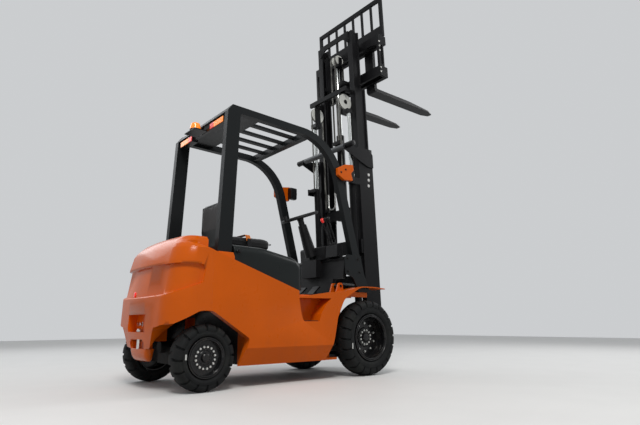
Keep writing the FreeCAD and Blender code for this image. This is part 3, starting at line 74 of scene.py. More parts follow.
def middle(node):
    low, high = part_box(node)
    return (low + high) / 2


FRONT_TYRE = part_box("front_tyre_left")
REAR_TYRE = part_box("rear_tyre_left")
AXLE_X = middle("front_tyre_left").x
AXLE_Z = middle("front_tyre_left").z
REAR_Z = middle("rear_tyre_left").z
MAST_LEAN = math.radians(2.6)
X_AXIS = np.array([1.0, 0.0, 0.0])
Y_AXIS = np.array([0.0, 1.0, 0.0])
Z_AXIS = np.array([0.0, 0.0, 1.0])


# Shapes. A shape is a pair: an array of points and a list of faces.

def join(*shapes):
    """One shape from several, with the faces' numbers moved past the points before them."""
    points = []
    faces = []
    start = 0
    for verts, polygons in shapes:
        points.append(np.asarray(verts, float))
        faces.extend([tuple(i + start for i in polygon) for polygon in polygons])
        start += len(verts)
    return np.concatenate(points), faces


def moved(shape, offset):
    return shape[0] + np.asarray(offset, float), shape[1]


def flipped(shape, axis=1):
    """The mirror image across a plane through the origin, with its faces turned back outwards."""
    points = shape[0].copy()
    points[:, axis] *= -1.0
    return points, [polygon[::-1] for polygon in shape[1]]


def both_sides(shape):
    return join(shape, flipped(shape))


def turned(shape, axis, angle, centre=(0.0, 0.0, 0.0)):
    """Rodrigues' turn: p cos a + (k x p) sin a + k (k . p)(1 - cos a), about a line through centre."""
    k = np.asarray(axis, float)
    k = k / np.linalg.norm(k)
    p = shape[0] - np.asarray(centre, float)
    out = (p * math.cos(angle) + np.cross(k, p) * math.sin(angle)
           + np.outer(p @ k, k) * (1.0 - math.cos(angle)))
    return out + np.asarray(centre, float), shape[1]


def lean(shape):
    """The upright mast's coordinates, forward u from the axle and height z, leaned back about the axle."""
    placed = moved(shape, (AXLE_X, 0.0, 0.0))
    return turned(placed, (0, 1, 0), -MAST_LEAN, (AXLE_X, 0.0, AXLE_Z))


def grid(points, around=False, along=False, caps=False):
    """A surface through an (n, m, 3) array of points, closed on its first or second index if asked."""
    points = np.asarray(points, float)
    n, m = points.shape[:2]
    index = np.arange(n * m).reshape(n, m)
    rows = index if along else index[:-1]
    next_rows = np.roll(index, -1, 0) if along else index[1:]
    if around:
        a, b = rows, next_rows
        c, d = np.roll(next_rows, -1, 1), np.roll(rows, -1, 1)
    else:
        a, b = rows[:, :-1], next_rows[:, :-1]
        c, d = next_rows[:, 1:], rows[:, 1:]
    quads = np.stack([a, b, c, d], -1).reshape(-1, 4)
    faces = [tuple(q) for q in quads.tolist()]
    if caps:
        faces.append(tuple(index[0].tolist()))
        faces.append(tuple(index[-1][::-1].tolist()))
    return points.reshape(-1, 3), faces


def revolve(profile, centre, axis, steps=48, closed=True):
    """Points (radius, height) turned about axis: centre + h axis + r (u cos t + v sin t).

    An open profile runs from near the axis back to near it, and a small cap closes each of its poles.
    """
    axis = np.asarray(axis, float)
    axis = axis / np.linalg.norm(axis)
    side = np.array([1.0, 0.0, 0.0]) if abs(axis[0]) < 0.8 else np.array([0.0, 0.0, 1.0])
    u = np.cross(axis, side)
    u = u / np.linalg.norm(u)
    v = np.cross(axis, u)
    profile = np.asarray(profile, float)
    angle = np.linspace(0.0, 2.0 * math.pi, steps, endpoint=False)
    ring = np.outer(np.cos(angle), u) + np.outer(np.sin(angle), v)
    points = (np.asarray(centre, float) + profile[:, 1, None, None] * axis
              + profile[:, 0, None, None] * ring[None])
    return grid(points, around=True, along=closed, caps=not closed)


def leaned_point(u, y, z):
    return tuple(lean((np.array([[u, y, z]]), []))[0][0])


def disc(centre, axis, radius, height, steps=32, edge=0.15):
    """A short cylinder with a rounded rim, its base at centre."""
    soft = min(radius, height) * edge
    return revolve([(0.0005, 0.0), (radius, 0.0), (radius, height - soft),
                    (radius - soft * 0.3, height - soft * 0.3), (radius - soft, height),
                    (0.0005, height)], centre, axis, steps, closed=False)


def block(low, high):
    """A box from its lowest to its highest corner."""
    (x0, y0, z0), (x1, y1, z1) = low, high
    points = np.array([(x0, y0, z0), (x1, y0, z0), (x1, y1, z0), (x0, y1, z0),
                       (x0, y0, z1), (x1, y0, z1), (x1, y1, z1), (x0, y1, z1)], float)
    return points, [(0, 3, 2, 1), (4, 5, 6, 7), (0, 1, 5, 4), (1, 2, 6, 5), (2, 3, 7, 6), (3, 0, 4, 7)]


def slab(outline, y0, y1):
    """An outline of (x, z) points carried from y0 to y1."""
    outline = np.asarray(outline, float)
    area = np.sum(outline[:, 0] * np.roll(outline[:, 1], -1) - outline[:, 1] * np.roll(outline[:, 0], -1))
    if area < 0:
        outline = outline[::-1]
    count = len(outline)
    near = np.column_stack([outline[:, 0], np.full(count, y0), outline[:, 1]])
    far = near.copy()
    far[:, 1] = y1
    faces = [tuple(range(count)), tuple(range(2 * count - 1, count - 1, -1))]
    for i in range(count):
        j = (i + 1) % count
        faces.append((i, i + count, j + count, j))
    return np.concatenate([near, far]), faces


def hexagon(centre, axis, width, height):
    """A bolt head or nut: six sides across its flats."""
    return revolve([(0.0003, 0.0), (width / 2, 0.0), (width / 2, height * 0.8), (width * 0.43, height),
                    (0.0003, height)], centre, axis, 6, closed=False)


def bar(path, side, width, thick):
    """A flat strap along a path: its section is a rectangle, width along side and thick across it."""
    path = np.asarray(path, float)
    side = np.asarray(side, float)
    tangent = np.gradient(path, axis=0)
    tangent /= np.linalg.norm(tangent, axis=1)[:, None]
    normal = np.cross(tangent, side)
    normal /= np.linalg.norm(normal, axis=1)[:, None]
    signs = np.array([(-1, -1), (1, -1), (1, 1), (-1, 1)], float)
    points = (path[:, None] + side[None, None] * signs[None, :, :1] * width / 2
              + normal[:, None] * signs[None, :, 1:] * thick / 2)
    return grid(points, around=True, caps=True)


def tube(path, radius, sides=10, closed=False):
    """A round section carried along a path, its frame carried without twist."""
    path = np.asarray(path, float)
    tangent = np.gradient(path, axis=0)
    if closed:
        tangent = np.roll(path, -1, 0) - np.roll(path, 1, 0)
    tangent /= np.linalg.norm(tangent, axis=1)[:, None]
    start = X_AXIS if abs(tangent[0][0]) < 0.8 else Z_AXIS
    normal = np.cross(tangent[0], start)
    normals = []
    for direction in tangent:
        normal = normal - direction * (normal @ direction)
        normal = normal / np.linalg.norm(normal)
        normals.append(normal)
    normals = np.array(normals)
    binormals = np.cross(tangent, normals)
    angle = np.linspace(0.0, 2.0 * math.pi, sides, endpoint=False)
    radius = np.broadcast_to(radius, len(path))[:, None, None]
    points = path[:, None] + radius * (normals[:, None] * np.cos(angle)[None, :, None]
                                       + binormals[:, None] * np.sin(angle)[None, :, None])
    return grid(points, around=True, along=closed, caps=not closed)


def rounded(corners, radius, steps=5):
    """An outline of (a, b) corners with each corner replaced by a quadratic curve of that reach."""
    corners = np.asarray(corners, float)
    before = np.roll(corners, 1, 0) - corners
    after = np.roll(corners, -1, 0) - corners
    reach_a = np.minimum(radius / np.linalg.norm(before, axis=1), 0.48)[:, None] * before
    reach_b = np.minimum(radius / np.linalg.norm(after, axis=1), 0.48)[:, None] * after
    t = np.linspace(0.0, 1.0, steps)[None, :, None]
    a = (corners + reach_a)[:, None]
    c = (corners + reach_b)[:, None]
    b = corners[:, None]
    return ((1 - t) ** 2 * a + 2 * t * (1 - t) * b + t ** 2 * c).reshape(-1, 2)


# Objects

def build(name, shape, material, body, replaces=(), bevel=0.0, smooth=40.0):
    """A mesh object at the origin, its normals turned outwards, that rides on a body or bends between two.

    body is a body's name, or (body, body, start, end) for a piece that crosses the joint between them.
    """
    mesh = bpy.data.meshes.new(name)
    mesh.from_pydata(shape[0].tolist(), [], shape[1])
    mesh.validate()
    data = bmesh.new()
    data.from_mesh(mesh)
    bmesh.ops.recalc_face_normals(data, faces=data.faces)
    data.to_mesh(mesh)
    data.free()
    return place(name, mesh, material, body, replaces, bevel, smooth)


def place(name, mesh, material, body, replaces, bevel, smooth):
    obj = bpy.data.objects.new(name, mesh)
    bpy.context.scene.collection.objects.link(obj)
    mesh.materials.clear()
    mesh.materials.append(material)
    if bevel:
        modifier = obj.modifiers.new("Rounded edges", "BEVEL")
        modifier.width = bevel
        modifier.segments = 2
        modifier.limit_method = "ANGLE"
        modifier.angle_limit = math.radians(35.0)
        modifier.use_clamp_overlap = True
    mesh.shade_smooth()
    if smooth:
        mesh.set_sharp_from_angle(angle=math.radians(smooth))
    if isinstance(body, tuple):
        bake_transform(obj)
    else:
        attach(obj, body)
    if replaces:
        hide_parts(*replaces)
    return obj


def dress(node, material, bevel=0.003, smooth=32.0, name=None):
    """Stands a merged copy of a machined node in its place, with rounded edges and even shading."""
    source = frame["nodes"][node]
    mesh = source.data.copy()
    data = bmesh.new()
    data.from_mesh(mesh)
    bmesh.ops.remove_doubles(data, verts=data.verts, dist=2e-5)
    bmesh.ops.dissolve_limit(data, angle_limit=math.radians(0.6), verts=data.verts, edges=data.edges)
    bmesh.ops.recalc_face_normals(data, faces=data.faces)
    data.to_mesh(mesh)
    data.free()
    return place(name or node + "_finished", mesh, material, BODY_OF[node], (node,), bevel, smooth)


TREES = {}


def touch(node, start, way):
    """Where a ray from start first meets a machined node, and the way its surface faces there."""
    if node not in TREES:
        mesh = frame["nodes"][node].data
        TREES[node] = BVHTree.FromPolygons([v.co.copy() for v in mesh.vertices],
                                           [tuple(p.vertices) for p in mesh.polygons])
    spot, normal, _, _ = TREES[node].ray_cast(Vector(start), Vector(way))
    if spot is None:
        raise ValueError("no surface of " + node + " in the way of a fitting")
    return np.array(spot), np.array(normal)


def bolts(node, starts, way, width, washer=1.0):
    """Bolt heads with washers, seated where rays along way meet a node."""
    parts = []
    for start in starts:
        spot, normal = touch(node, start, way)
        if normal @ np.asarray(way) > 0:
            normal = -normal
        parts.append(disc(spot - normal * 0.0003, normal, width * 0.72, 0.0018 * washer, 16))
        parts.append(hexagon(spot + normal * 0.0014 * washer, normal, width, width * 0.5))
    return join(*parts)


BODY_OF = {node: body for body, nodes in frame["record"]["behaviour"]["bodies"].items() for node in nodes}


# Materials

class Nodes:
    """Short forms for building a material's node tree."""

    def __init__(self, name, colour, roughness=0.5, metallic=0.0, coat=0.0, specular=0.5):
        self.material = bpy.data.materials.new(name)
        self.material.use_nodes = True
        self.tree = self.material.node_tree
        self.shader = self.tree.nodes["Principled BSDF"]
        self.shader.inputs["Base Color"].default_value = (*colour, 1.0)
        self.shader.inputs["Roughness"].default_value = roughness
        self.shader.inputs["Metallic"].default_value = metallic
        self.shader.inputs["Coat Weight"].default_value = coat
        self.shader.inputs["Coat Roughness"].default_value = 0.06
        self.shader.inputs["Specular IOR Level"].default_value = specular
        self.place = self.tree.nodes.new("ShaderNodeTexCoord").outputs["Object"]

    def add(self, kind, **values):
        node = self.tree.nodes.new("ShaderNode" + kind)
        for key, value in values.items():
            setattr(node, key, value)
        return node

    def link(self, source, target):
        self.tree.links.new(source, target)

    def noise(self, scale, detail=3.0, rough=0.55, stretch=(1.0, 1.0, 1.0)):
        mapping = self.add("Mapping")
        mapping.inputs["Scale"].default_value = stretch
        self.link(self.place, mapping.inputs["Vector"])
        node = self.add("TexNoise")
        node.inputs["Scale"].default_value = scale
        node.inputs["Detail"].default_value = detail
        node.inputs["Roughness"].default_value = rough
        self.link(mapping.outputs["Vector"], node.inputs["Vector"])
        return node.outputs["Fac"]

    def ramp(self, source, low, high):
        """0 below low and 1 above high, smooth between."""
        node = self.add("MapRange", interpolation_type="SMOOTHSTEP")
        node.inputs["From Min"].default_value = low
        node.inputs["From Max"].default_value = high
        self.link(source, node.inputs["Value"])
        return node.outputs["Result"]

    def scaled(self, source, low, high):
        """Maps 0..1 to low..high."""
        node = self.add("MapRange")
        node.inputs["To Min"].default_value = low
        node.inputs["To Max"].default_value = high
        self.link(source, node.inputs["Value"])
        return node.outputs["Result"]

    def math(self, operation, a, b=None):
        node = self.add("Math", operation=operation)
        for socket, value in zip(node.inputs, (a, b)):
            if value is None:
                continue
            if isinstance(value, (int, float)):
                socket.default_value = value
            else:
                self.link(value, socket)
        return node.outputs[0]

    def mix(self, factor, a, b):
        node = self.add("Mix", data_type="RGBA")
        for socket, value in zip((node.inputs[0], node.inputs[6], node.inputs[7]), (factor, a, b)):
            if isinstance(value, (int, float)):
                socket.default_value = value
            elif isinstance(value, tuple):
                socket.default_value = (*value, 1.0)
            else:
                self.link(value, socket)
        return node.outputs[2]

    def height(self, axis="Z"):
        node = self.add("SeparateXYZ")
        self.link(self.place, node.inputs[0])
        return node.outputs[axis]

    def edges(self, radius=0.004):
        """1 along convex and concave edges: how far a rounded normal leaves the true one."""
        bevel = self.add("Bevel", samples=4)
        bevel.inputs["Radius"].default_value = radius
        geometry = self.add("NewGeometry")
        dot = self.add("VectorMath", operation="DOT_PRODUCT")
        self.link(bevel.outputs["Normal"], dot.inputs[0])
        self.link(geometry.outputs["Normal"], dot.inputs[1])
        return self.math("SUBTRACT", 1.0, dot.outputs["Value"])

    def bump(self, height, strength, distance):
        node = self.add("Bump")
        node.inputs["Strength"].default_value = strength
        node.inputs["Distance"].default_value = distance
        self.link(height, node.inputs["Height"])
        previous = self.shader.inputs["Normal"].links
        if previous:
            self.link(previous[0].from_socket, node.inputs["Normal"])
        self.link(node.outputs["Normal"], self.shader.inputs["Normal"])

    def colour(self, socket):
        self.link(socket, self.shader.inputs["Base Color"])

    def roughness(self, socket):
        self.link(socket, self.shader.inputs["Roughness"])

    def metallic(self, socket):
        self.link(socket, self.shader.inputs["Metallic"])


def paint(name, colour, roughness=0.3, coat=0.2, orange_peel=0.08, cast=0.0, wear=0.3, dust=0.12,
          bare=(0.30, 0.29, 0.28), inside=None, specular=0.4):
    """Paint on steel: tone drift, faint peel, dust that gathers low down and thin wear along edges.

    inside = (half width, height, rear) lays black over what lies nearer the middle, lower and further forward:
    painted shade inside the arches and under the body.
    """
    n = Nodes(name, colour, roughness, coat=coat, specular=specular)
    drift = n.noise(1.6, 4.0)
    dark = tuple(c * 0.9 for c in colour)
    base = n.mix(n.ramp(drift, 0.35, 0.7), dark, colour)
    dirt = n.math("MULTIPLY", n.ramp(n.noise(9.0, 6.0, 0.65), 0.45, 0.8), dust)
    low = n.ramp(n.height(), 0.7, 0.1)
    dirt = n.math("MULTIPLY", dirt, n.math("ADD", 0.12, low))
    base = n.mix(dirt, base, (0.10, 0.085, 0.07))
    patchy = n.ramp(n.noise(38.0, 3.0, 0.7), 0.5, 0.68)
    worn = n.math("MULTIPLY", n.math("MULTIPLY", n.ramp(n.edges(), 0.06, 0.35), patchy), wear)
    base = n.mix(worn, base, bare)
    # painted shade: black over the faces within the half width, below the height and ahead of rear, where
    # shade falls in the arches and under the body
    if inside:
        half, top, rear = inside
        within = n.math("LESS_THAN", n.math("ABSOLUTE", n.height("Y")), half)
        below = n.math("LESS_THAN", n.height("Z"), top)
        ahead = n.math("GREATER_THAN", n.height("X"), rear)
        painted_shade = n.math("MULTIPLY", n.math("MULTIPLY", within, below), ahead)
        base = n.mix(painted_shade, base, SHADE_BLACK)
    n.colour(base)
    rough = n.math("ADD", n.scaled(n.noise(14.0, 4.0), roughness - 0.04, roughness + 0.05),
                   n.math("MULTIPLY", dirt, 0.5))
    n.roughness(rough)
    if cast:
        n.bump(n.noise(46.0, 4.0, 0.55), cast, 0.0008)
    n.bump(n.noise(420.0, 1.0), orange_peel, 0.0002)
    return n.material


def rubber(name, colour=(0.018, 0.018, 0.019), dust=0.5, roughness=0.72):
    """Tyre rubber: matt, with pale dust in patches and a fine grain."""
    n = Nodes(name, colour, roughness, specular=0.18)
    patches = n.math("MULTIPLY", n.ramp(n.noise(7.0, 6.0, 0.7), 0.4, 0.8), dust)
    n.colour(n.mix(patches, n.mix(n.noise(22.0, 3.0), colour, tuple(c * 1.9 for c in colour)),
                   (0.045, 0.047, 0.040)))
    n.roughness(n.scaled(n.noise(16.0, 3.0), roughness - 0.12, roughness + 0.12))
    n.bump(n.noise(160.0, 4.0, 0.6), 0.25, 0.0006)
    return n.material


def plastic(name, colour, roughness=0.5, grain=320.0, strength=0.22):
    """Moulded plastic: even colour with a fine leather-like grain and hand-worn sheen."""
    n = Nodes(name, colour, roughness, specular=0.25)
    n.colour(n.mix(n.ramp(n.noise(3.0, 4.0), 0.3, 0.75), tuple(c * 0.8 for c in colour),
                   tuple(c * 1.25 for c in colour)))
    n.roughness(n.scaled(n.noise(8.0, 4.0), roughness - 0.08, roughness + 0.08))
    cells = n.add("TexVoronoi", feature="SMOOTH_F1")
    cells.inputs["Scale"].default_value = grain
    n.link(n.place, cells.inputs["Vector"])
    n.bump(cells.outputs["Distance"], strength, 0.0004)
    return n.material


def steel(name, colour, roughness=0.3, streak=(60.0, 60.0, 6.0), oil=0.0, drawn=0.05):
    """Bare or plated steel with drawn streaks and, where oiled, dark patches."""
    n = Nodes(name, colour, roughness, metallic=1.0)
    lines = n.noise(9.0, 4.0, 0.7, streak)
    tone = n.mix(lines, tuple(c * 0.8 for c in colour), colour)
    oiled = n.math("MULTIPLY", n.ramp(n.noise(12.0, 5.0), 0.45, 0.7), oil)
    n.colour(n.mix(oiled, tone, (0.03, 0.028, 0.025)))
    n.roughness(n.scaled(lines, roughness - 0.04, roughness + 0.06))
    if drawn:
        n.bump(lines, drawn, 0.0003)
    return n.material


def vinyl(name, colour=(0.022, 0.022, 0.024)):
    """Seat vinyl: fine pebbling, soft creases and a slight sheen."""
    n = Nodes(name, colour, 0.42, specular=0.25)
    n.shader.inputs["Sheen Weight"].default_value = 0.15
    n.colour(n.mix(n.ramp(n.noise(5.0, 4.0), 0.35, 0.7), colour, tuple(c * 1.7 for c in colour)))
    n.roughness(n.scaled(n.noise(11.0, 4.0), 0.36, 0.55))
    n.bump(n.noise(18.0, 4.0, 0.6), 0.18, 0.004)
    cells = n.add("TexVoronoi", feature="F1")
    cells.inputs["Scale"].default_value = 420.0
    n.link(n.place, cells.inputs["Vector"])
    n.bump(cells.outputs["Distance"], 0.2, 0.0004)
    return n.material


def lens(name, colour, lamp_and_painted_glow=0.0, ribs=260.0):
    """A tinted lamp lens with fine vertical ribs that glows: lamp light on the lamps, and painted glow where
    the red finish lies on the rear reflector and the lever knob, which are no lamps.
    """
    n = Nodes(name, colour, 0.12, coat=0.6)
    n.shader.inputs["Transmission Weight"].default_value = 0.15
    n.shader.inputs["Emission Color"].default_value = (*colour, 1.0)
    n.shader.inputs["Emission Strength"].default_value = lamp_and_painted_glow
    wave = n.add("TexWave", bands_direction="Y")
    wave.inputs["Scale"].default_value = ribs / 6.0
    n.link(n.place, wave.inputs["Vector"])
    n.colour(n.mix(n.scaled(wave.outputs["Fac"], 0.0, 0.35), colour, tuple(c * 0.6 for c in colour)))
    n.bump(wave.outputs["Fac"], 0.3, 0.0006)
    return n.material


def webbing(name, colour):
    """Woven belt: narrow cords across the band."""
    n = Nodes(name, colour, 0.7)
    wave = n.add("TexWave", bands_direction="X")
    wave.inputs["Scale"].default_value = 120.0
    n.link(n.place, wave.inputs["Vector"])
    n.colour(n.mix(wave.outputs["Fac"], tuple(c * 0.7 for c in colour), colour))
    n.bump(wave.outputs["Fac"], 0.4, 0.0006)
    return n.material


def mat_rubber(name):
    """Floor mat: round studs in rows on black rubber with scuffed tops."""
    n = Nodes(name, (0.02, 0.02, 0.021), 0.75)
    cells = n.add("TexVoronoi", feature="F1")
    cells.inputs["Scale"].default_value = 45.0
    cells.inputs["Randomness"].default_value = 0.0
    n.link(n.place, cells.inputs["Vector"])
    stud = n.ramp(cells.outputs["Distance"], 0.42, 0.3)
    n.colour(n.mix(n.math("MULTIPLY", stud, n.noise(20.0)), (0.018, 0.018, 0.019), (0.06, 0.058, 0.055)))
    n.bump(stud, 0.8, 0.002)
    return n.material


def sticker(name):
    """A blank pale label with a soft sheen."""
    n = Nodes(name, (0.72, 0.72, 0.70), 0.35)
    n.colour(n.mix(n.noise(30.0, 4.0), (0.60, 0.60, 0.58), (0.78, 0.78, 0.76)))
    n.bump(n.noise(200.0), 0.05, 0.0002)
    return n.material


# Painted shade: black laid over the frame's and the casting's faces inside the arches and under the body
SHADE_BLACK = (0.008, 0.008, 0.009)
FRAME_PAINTED_SHADE = (0.366, 0.69, -9.0)
CASTING_PAINTED_SHADE = (0.303, 0.57, AXLE_X - 1.78)

MAKERS = {
    "body paint": lambda look: paint("body_paint", tuple(look.body_colour), 0.28, 0.05, inside=FRAME_PAINTED_SHADE,
                                     specular=0.16),
    "casting paint": lambda look: paint("casting_paint", tuple(look.body_colour), 0.22, 0.10, cast=0.05,
                                        inside=CASTING_PAINTED_SHADE, specular=0.16),
    "guard paint": lambda look: paint("guard_paint", tuple(look.guard_colour), 0.38, 0.03, wear=0.3,
                                      specular=0.16),
    "mast paint": lambda look: paint("mast_paint", (0.006, 0.006, 0.007), 0.38, 0.02, wear=0.35, dust=0.2,
                                     specular=0.14),
    "grey paint": lambda look: paint("grey_paint", (0.07, 0.076, 0.082), 0.3, 0.1, wear=0.5, dust=0.2),
    "fork paint": lambda look: paint("fork_paint", (0.010, 0.010, 0.011), 0.42, 0.0, wear=1.2, dust=0.3,
                                     specular=0.25),
    "rim paint": lambda look: paint("rim_paint", (0.006, 0.006, 0.007), 0.22, 0.12, wear=0.2, dust=0.3,
                                   specular=0.3),
    "tyre": lambda look: rubber("tyre_rubber", (0.008, 0.0085, 0.009), 0.35),
    "hose": lambda look: rubber("hose_rubber", (0.008, 0.008, 0.009), 0.1, 0.5),
    "cowl plastic": lambda look: plastic("cowl_plastic", (0.009, 0.009, 0.010)),
    "hood plastic": lambda look: plastic("hood_plastic", (0.008, 0.011, 0.011), 0.3, 240.0, 0.1),
    "lamp plastic": lambda look: plastic("lamp_plastic", (0.008, 0.008, 0.009), 0.35),
    "pulley plastic": lambda look: plastic("pulley_plastic", (0.74, 0.75, 0.71), 0.42, 90.0, 0.05),
    "chrome": lambda look: steel("chrome_rod", (0.60, 0.62, 0.61), 0.20, (20.0, 20.0, 40.0), drawn=0.0),
    "chain": lambda look: steel("chain_steel", (0.16, 0.155, 0.14), 0.36, oil=0.8),
    "zinc": lambda look: steel("zinc_plate", (0.72, 0.72, 0.69), 0.26),
    "dark casting": lambda look: paint("dark_casting", (0.010, 0.010, 0.010), 0.6, 0.0, cast=0.4, dust=0.5,
                                       specular=0.2),
    "vinyl": lambda look: vinyl("seat_vinyl", (0.011, 0.011, 0.012)),
    "belt": lambda look: webbing("belt_webbing", (0.80, 0.20, 0.01)),
    "mat": lambda look: mat_rubber("floor_mat"),
    "sticker": lambda look: sticker("blank_label"),
    "amber": lambda look: lens("amber_lens", (1.0, 0.25, 0.01), 0.7),
    # the red lens glows: lamp light on the stop lamps, painted glow on the rear reflector and the lever knob
    "red": lambda look: lens("red_lens", (0.75, 0.02, 0.015), 0.5),
    "clear": lambda look: lens("clear_lens", (0.75, 0.77, 0.78), 0.0),
}
MATERIALS = {}


def material(name):
    """A finish by its plain name, made the first time it is asked for."""
    if name not in MATERIALS:
        MATERIALS[name] = MAKERS[name](bpy.context.scene.forklift_look)
    return MATERIALS[name]


# Settings

class ForkliftLook(bpy.types.PropertyGroup):
    """Colours of the painted parts."""
    body_colour: FloatVectorProperty(
        name="Body colour", description="Paint of the frame, counterweight and mudguards", subtype="COLOR",
        size=3, min=0.0, max=1.0, default=(0.80, 0.132, 0.001))
    guard_colour: FloatVectorProperty(
        name="Guard colour", description="Paint of the overhead guard", subtype="COLOR",
        size=3, min=0.0, max=1.0, default=(0.010, 0.012, 0.013))


class ForkliftTyres(bpy.types.PropertyGroup):
    """Tread of the solid tyres."""
    groove_depth: FloatProperty(
        name="Groove depth", description="Depth of the tread's cross grooves", unit="LENGTH",
        default=0.016, min=0.002, max=0.03)
    groove_width: FloatProperty(
        name="Groove width", description="Width of a cross groove at the tread", unit="LENGTH",
        default=0.017, min=0.004, max=0.04)
    front_lugs: IntProperty(
        name="Front lugs", description="Lugs on each side of a front tyre", default=22, min=8, max=40)
    rear_lugs: IntProperty(
        name="Rear lugs", description="Lugs on each side of a rear tyre", default=16, min=8, max=40)


# Wheels

def tyre_surface(radius, width, bead, lugs, centre, groove_depth, groove_width, lug_side):
    """A solid tyre as a grid over the angle t around it and the place s across its section.

    The section is a rounded box: |y / (w/2)|^p + |(r - m) / h|^p = 1 about the middle radius m, with a crown
    that lowers the tread by c (y / (w/2))^2. Each half of the tread has its own set of grooves, half a pitch
    apart, that slant with |y| and run down the side over lug_side, where they are cut to groove_depth.
    """
    power = 5.0
    half = width / 2.0
    inner = bead - 0.004
    mid = (radius + inner) / 2.0
    tall = (radius - inner) / 2.0
    s = np.linspace(0.0, 2.0 * math.pi, 72, endpoint=False)
    cos_s, sin_s = np.cos(s), np.sin(s)
    scale = (np.abs(cos_s) ** power + np.abs(sin_s) ** power) ** (-1.0 / power)
    across = half * cos_s * scale
    r = mid + tall * sin_s * scale
    share = across / half
    r = r - 0.012 * share ** 2 * (r > mid)
    edge = groove_width / (2.0 * math.pi * radius / lugs)
    soft = 0.0022 / (2.0 * math.pi * radius / lugs)
    marks = [0.0, edge / 2 - soft, edge / 2 + soft, 0.25, 0.5 - edge / 2 - soft, 0.5 - edge / 2 + soft,
             0.5, 0.5 + edge / 2 - soft, 0.5 + edge / 2 + soft, 0.75, 1.0 - edge / 2 - soft,
             1.0 - edge / 2 + soft]
    phase = (np.arange(lugs)[:, None] + np.array(marks)[None]).ravel()
    slant = 0.16 * np.abs(share)
    pitch_phase = np.broadcast_to(phase[:, None], (len(phase), len(s)))
    side = (across < 0) * 0.5
    local = np.mod(pitch_phase - side[None] + 0.5, 1.0) - 0.5
    in_groove = 1.0 - np.clip((np.abs(local) - (edge / 2 - soft)) / (2 * soft), 0.0, 1.0)
    reach = np.clip((np.abs(share) - 0.16) / 0.05, 0.0, 1.0)
    down = np.clip((r - (radius - lug_side)) / 0.008, 0.0, 1.0)
    cut = groove_depth * in_groove * (reach * down)[None]
    # On the tread the cut goes inwards, and on the shoulder sideways as well.
    turn = np.clip((np.abs(share) - 0.86) / 0.12, 0.0, 1.0)
    radial = r[None] - cut * (1.0 - 0.55 * turn[None])
    lateral = across[None] - np.sign(across)[None] * cut * 0.7 * turn[None]
    ribs = 0.0016 * np.exp(-((r - (mid + tall * 0.35)) / 0.003) ** 2) + 0.0016 * np.exp(
        -((r - (mid - tall * 0.45)) / 0.003) ** 2)
    lateral = lateral + np.sign(across)[None] * (ribs * (np.abs(share) > 0.9))[None]
    angle = 2.0 * math.pi * (pitch_phase + slant[None]) / lugs
    x = centre[0] + radial * np.cos(angle)
    z = centre[2] + radial * np.sin(angle)
    y = centre[1] + lateral
    return grid(np.stack([x, y, z], -1), around=True, along=True)


def nut_ring(count, pitch, size, height, y, axle, stub, every):
    """Nuts over the studs round a wheel's disc; where every is 2, each second stud has a round cap."""
    parts = []
    for i in range(count):
        angle = 2.0 * math.pi * (i + 0.5) / count
        spot = (axle[0] + pitch * math.cos(angle), y, axle[1] + pitch * math.sin(angle))
        if i % every:
            parts.append(disc(spot, Y_AXIS, size * 0.42, height, 14, 0.4))
            continue
        parts.append(hexagon(spot, Y_AXIS, size, height))
        parts.append(disc((spot[0], y + height * 0.9, spot[2]), Y_AXIS, size * 0.27, stub, 10))
    return join(*parts)


class FORKLIFT_OT_wheels(bpy.types.Operator):
    """Make the four solid tyres with their tread, and the rims with hubs and nuts"""
    bl_idname = "forklift.wheels"
    bl_label = "Wheels"

    def execute(self, context):
        tread = context.scene.forklift_tyres
        # Columns: end of the truck, tyre box, axle height, bead radius, how far the grooves run down the
        # side, lugs, nut rings as (count, pitch radius, size, height, how far in, stub, every), lock ring as
        # (radius, how far in), blank mark as (x, z, half height).
        table = (
            ("front", FRONT_TYRE, AXLE_Z, 0.212, 0.066, tread.front_lugs,
             ((12, 0.064, 0.021, 0.0115, 0.094, 0.006, 1), (10, 0.127, 0.024, 0.0135, 0.106, 0.006, 1)),
             (0.190, 0.009), (-0.250, -0.068, 0.024)),
            ("rear", REAR_TYRE, REAR_Z, 0.144, 0.050, tread.rear_lugs,
             ((16, 0.074, 0.020, 0.0135, 0.040, 0.005, 2),),
             (0.124, 0.009), (-0.160, 0.011, 0.018)),
        )
        for end, box, axle_z, bead, lug_side, lugs, rings, lock, mark in table:
            low, high = box
            width = high.y - low.y - 0.004
            centre = ((low.x + high.x) / 2, (low.y + high.y) / 2, axle_z)
            axle = (centre[0], centre[2])
            radius = (high.z - low.z) / 2
            tyre = tyre_surface(radius, width, bead, lugs, centre, tread.groove_depth, tread.groove_width,
                                lug_side)
            nuts = join(*[nut_ring(count, pitch, size, height, high.y - depth, axle, stub, every)
                          for count, pitch, size, height, depth, stub, every in rings])
            angle = np.linspace(0.25, 2.0 * math.pi - 0.05, 90)
            lock_r, lock_in = lock
            path = np.column_stack([axle[0] + lock_r * np.cos(angle), np.full(90, high.y - lock_in),
                                    axle[1] + lock_r * np.sin(angle)])
            lock_ring = tube(path, 0.0042, 8)
            x, z, half = mark
            patch = block((-0.006, -0.0035, -half), (0.006, -0.0004, half))
            patch = moved(patch, (centre[0] + x, high.y, axle_z + z))
            for side, turn in (("left", lambda shape: shape), ("right", flipped)):
                body = end + "_wheel_" + side
                build(end + "_tyre_" + side + "_tread", turn(tyre), material("tyre"), body,
                      (end + "_tyre_" + side,), smooth=30)
                dress(end + "_rim_" + side, material("rim paint"), 0.0015)
                build(end + "_lock_ring_" + side, turn(lock_ring), material("rim paint"), body)
                build(end + "_nuts_" + side, turn(nuts), material("zinc"), body)
                build(end + "_tyre_mark_" + side, turn(patch), material("sticker"), body)
        return {"FINISHED"}


# Body

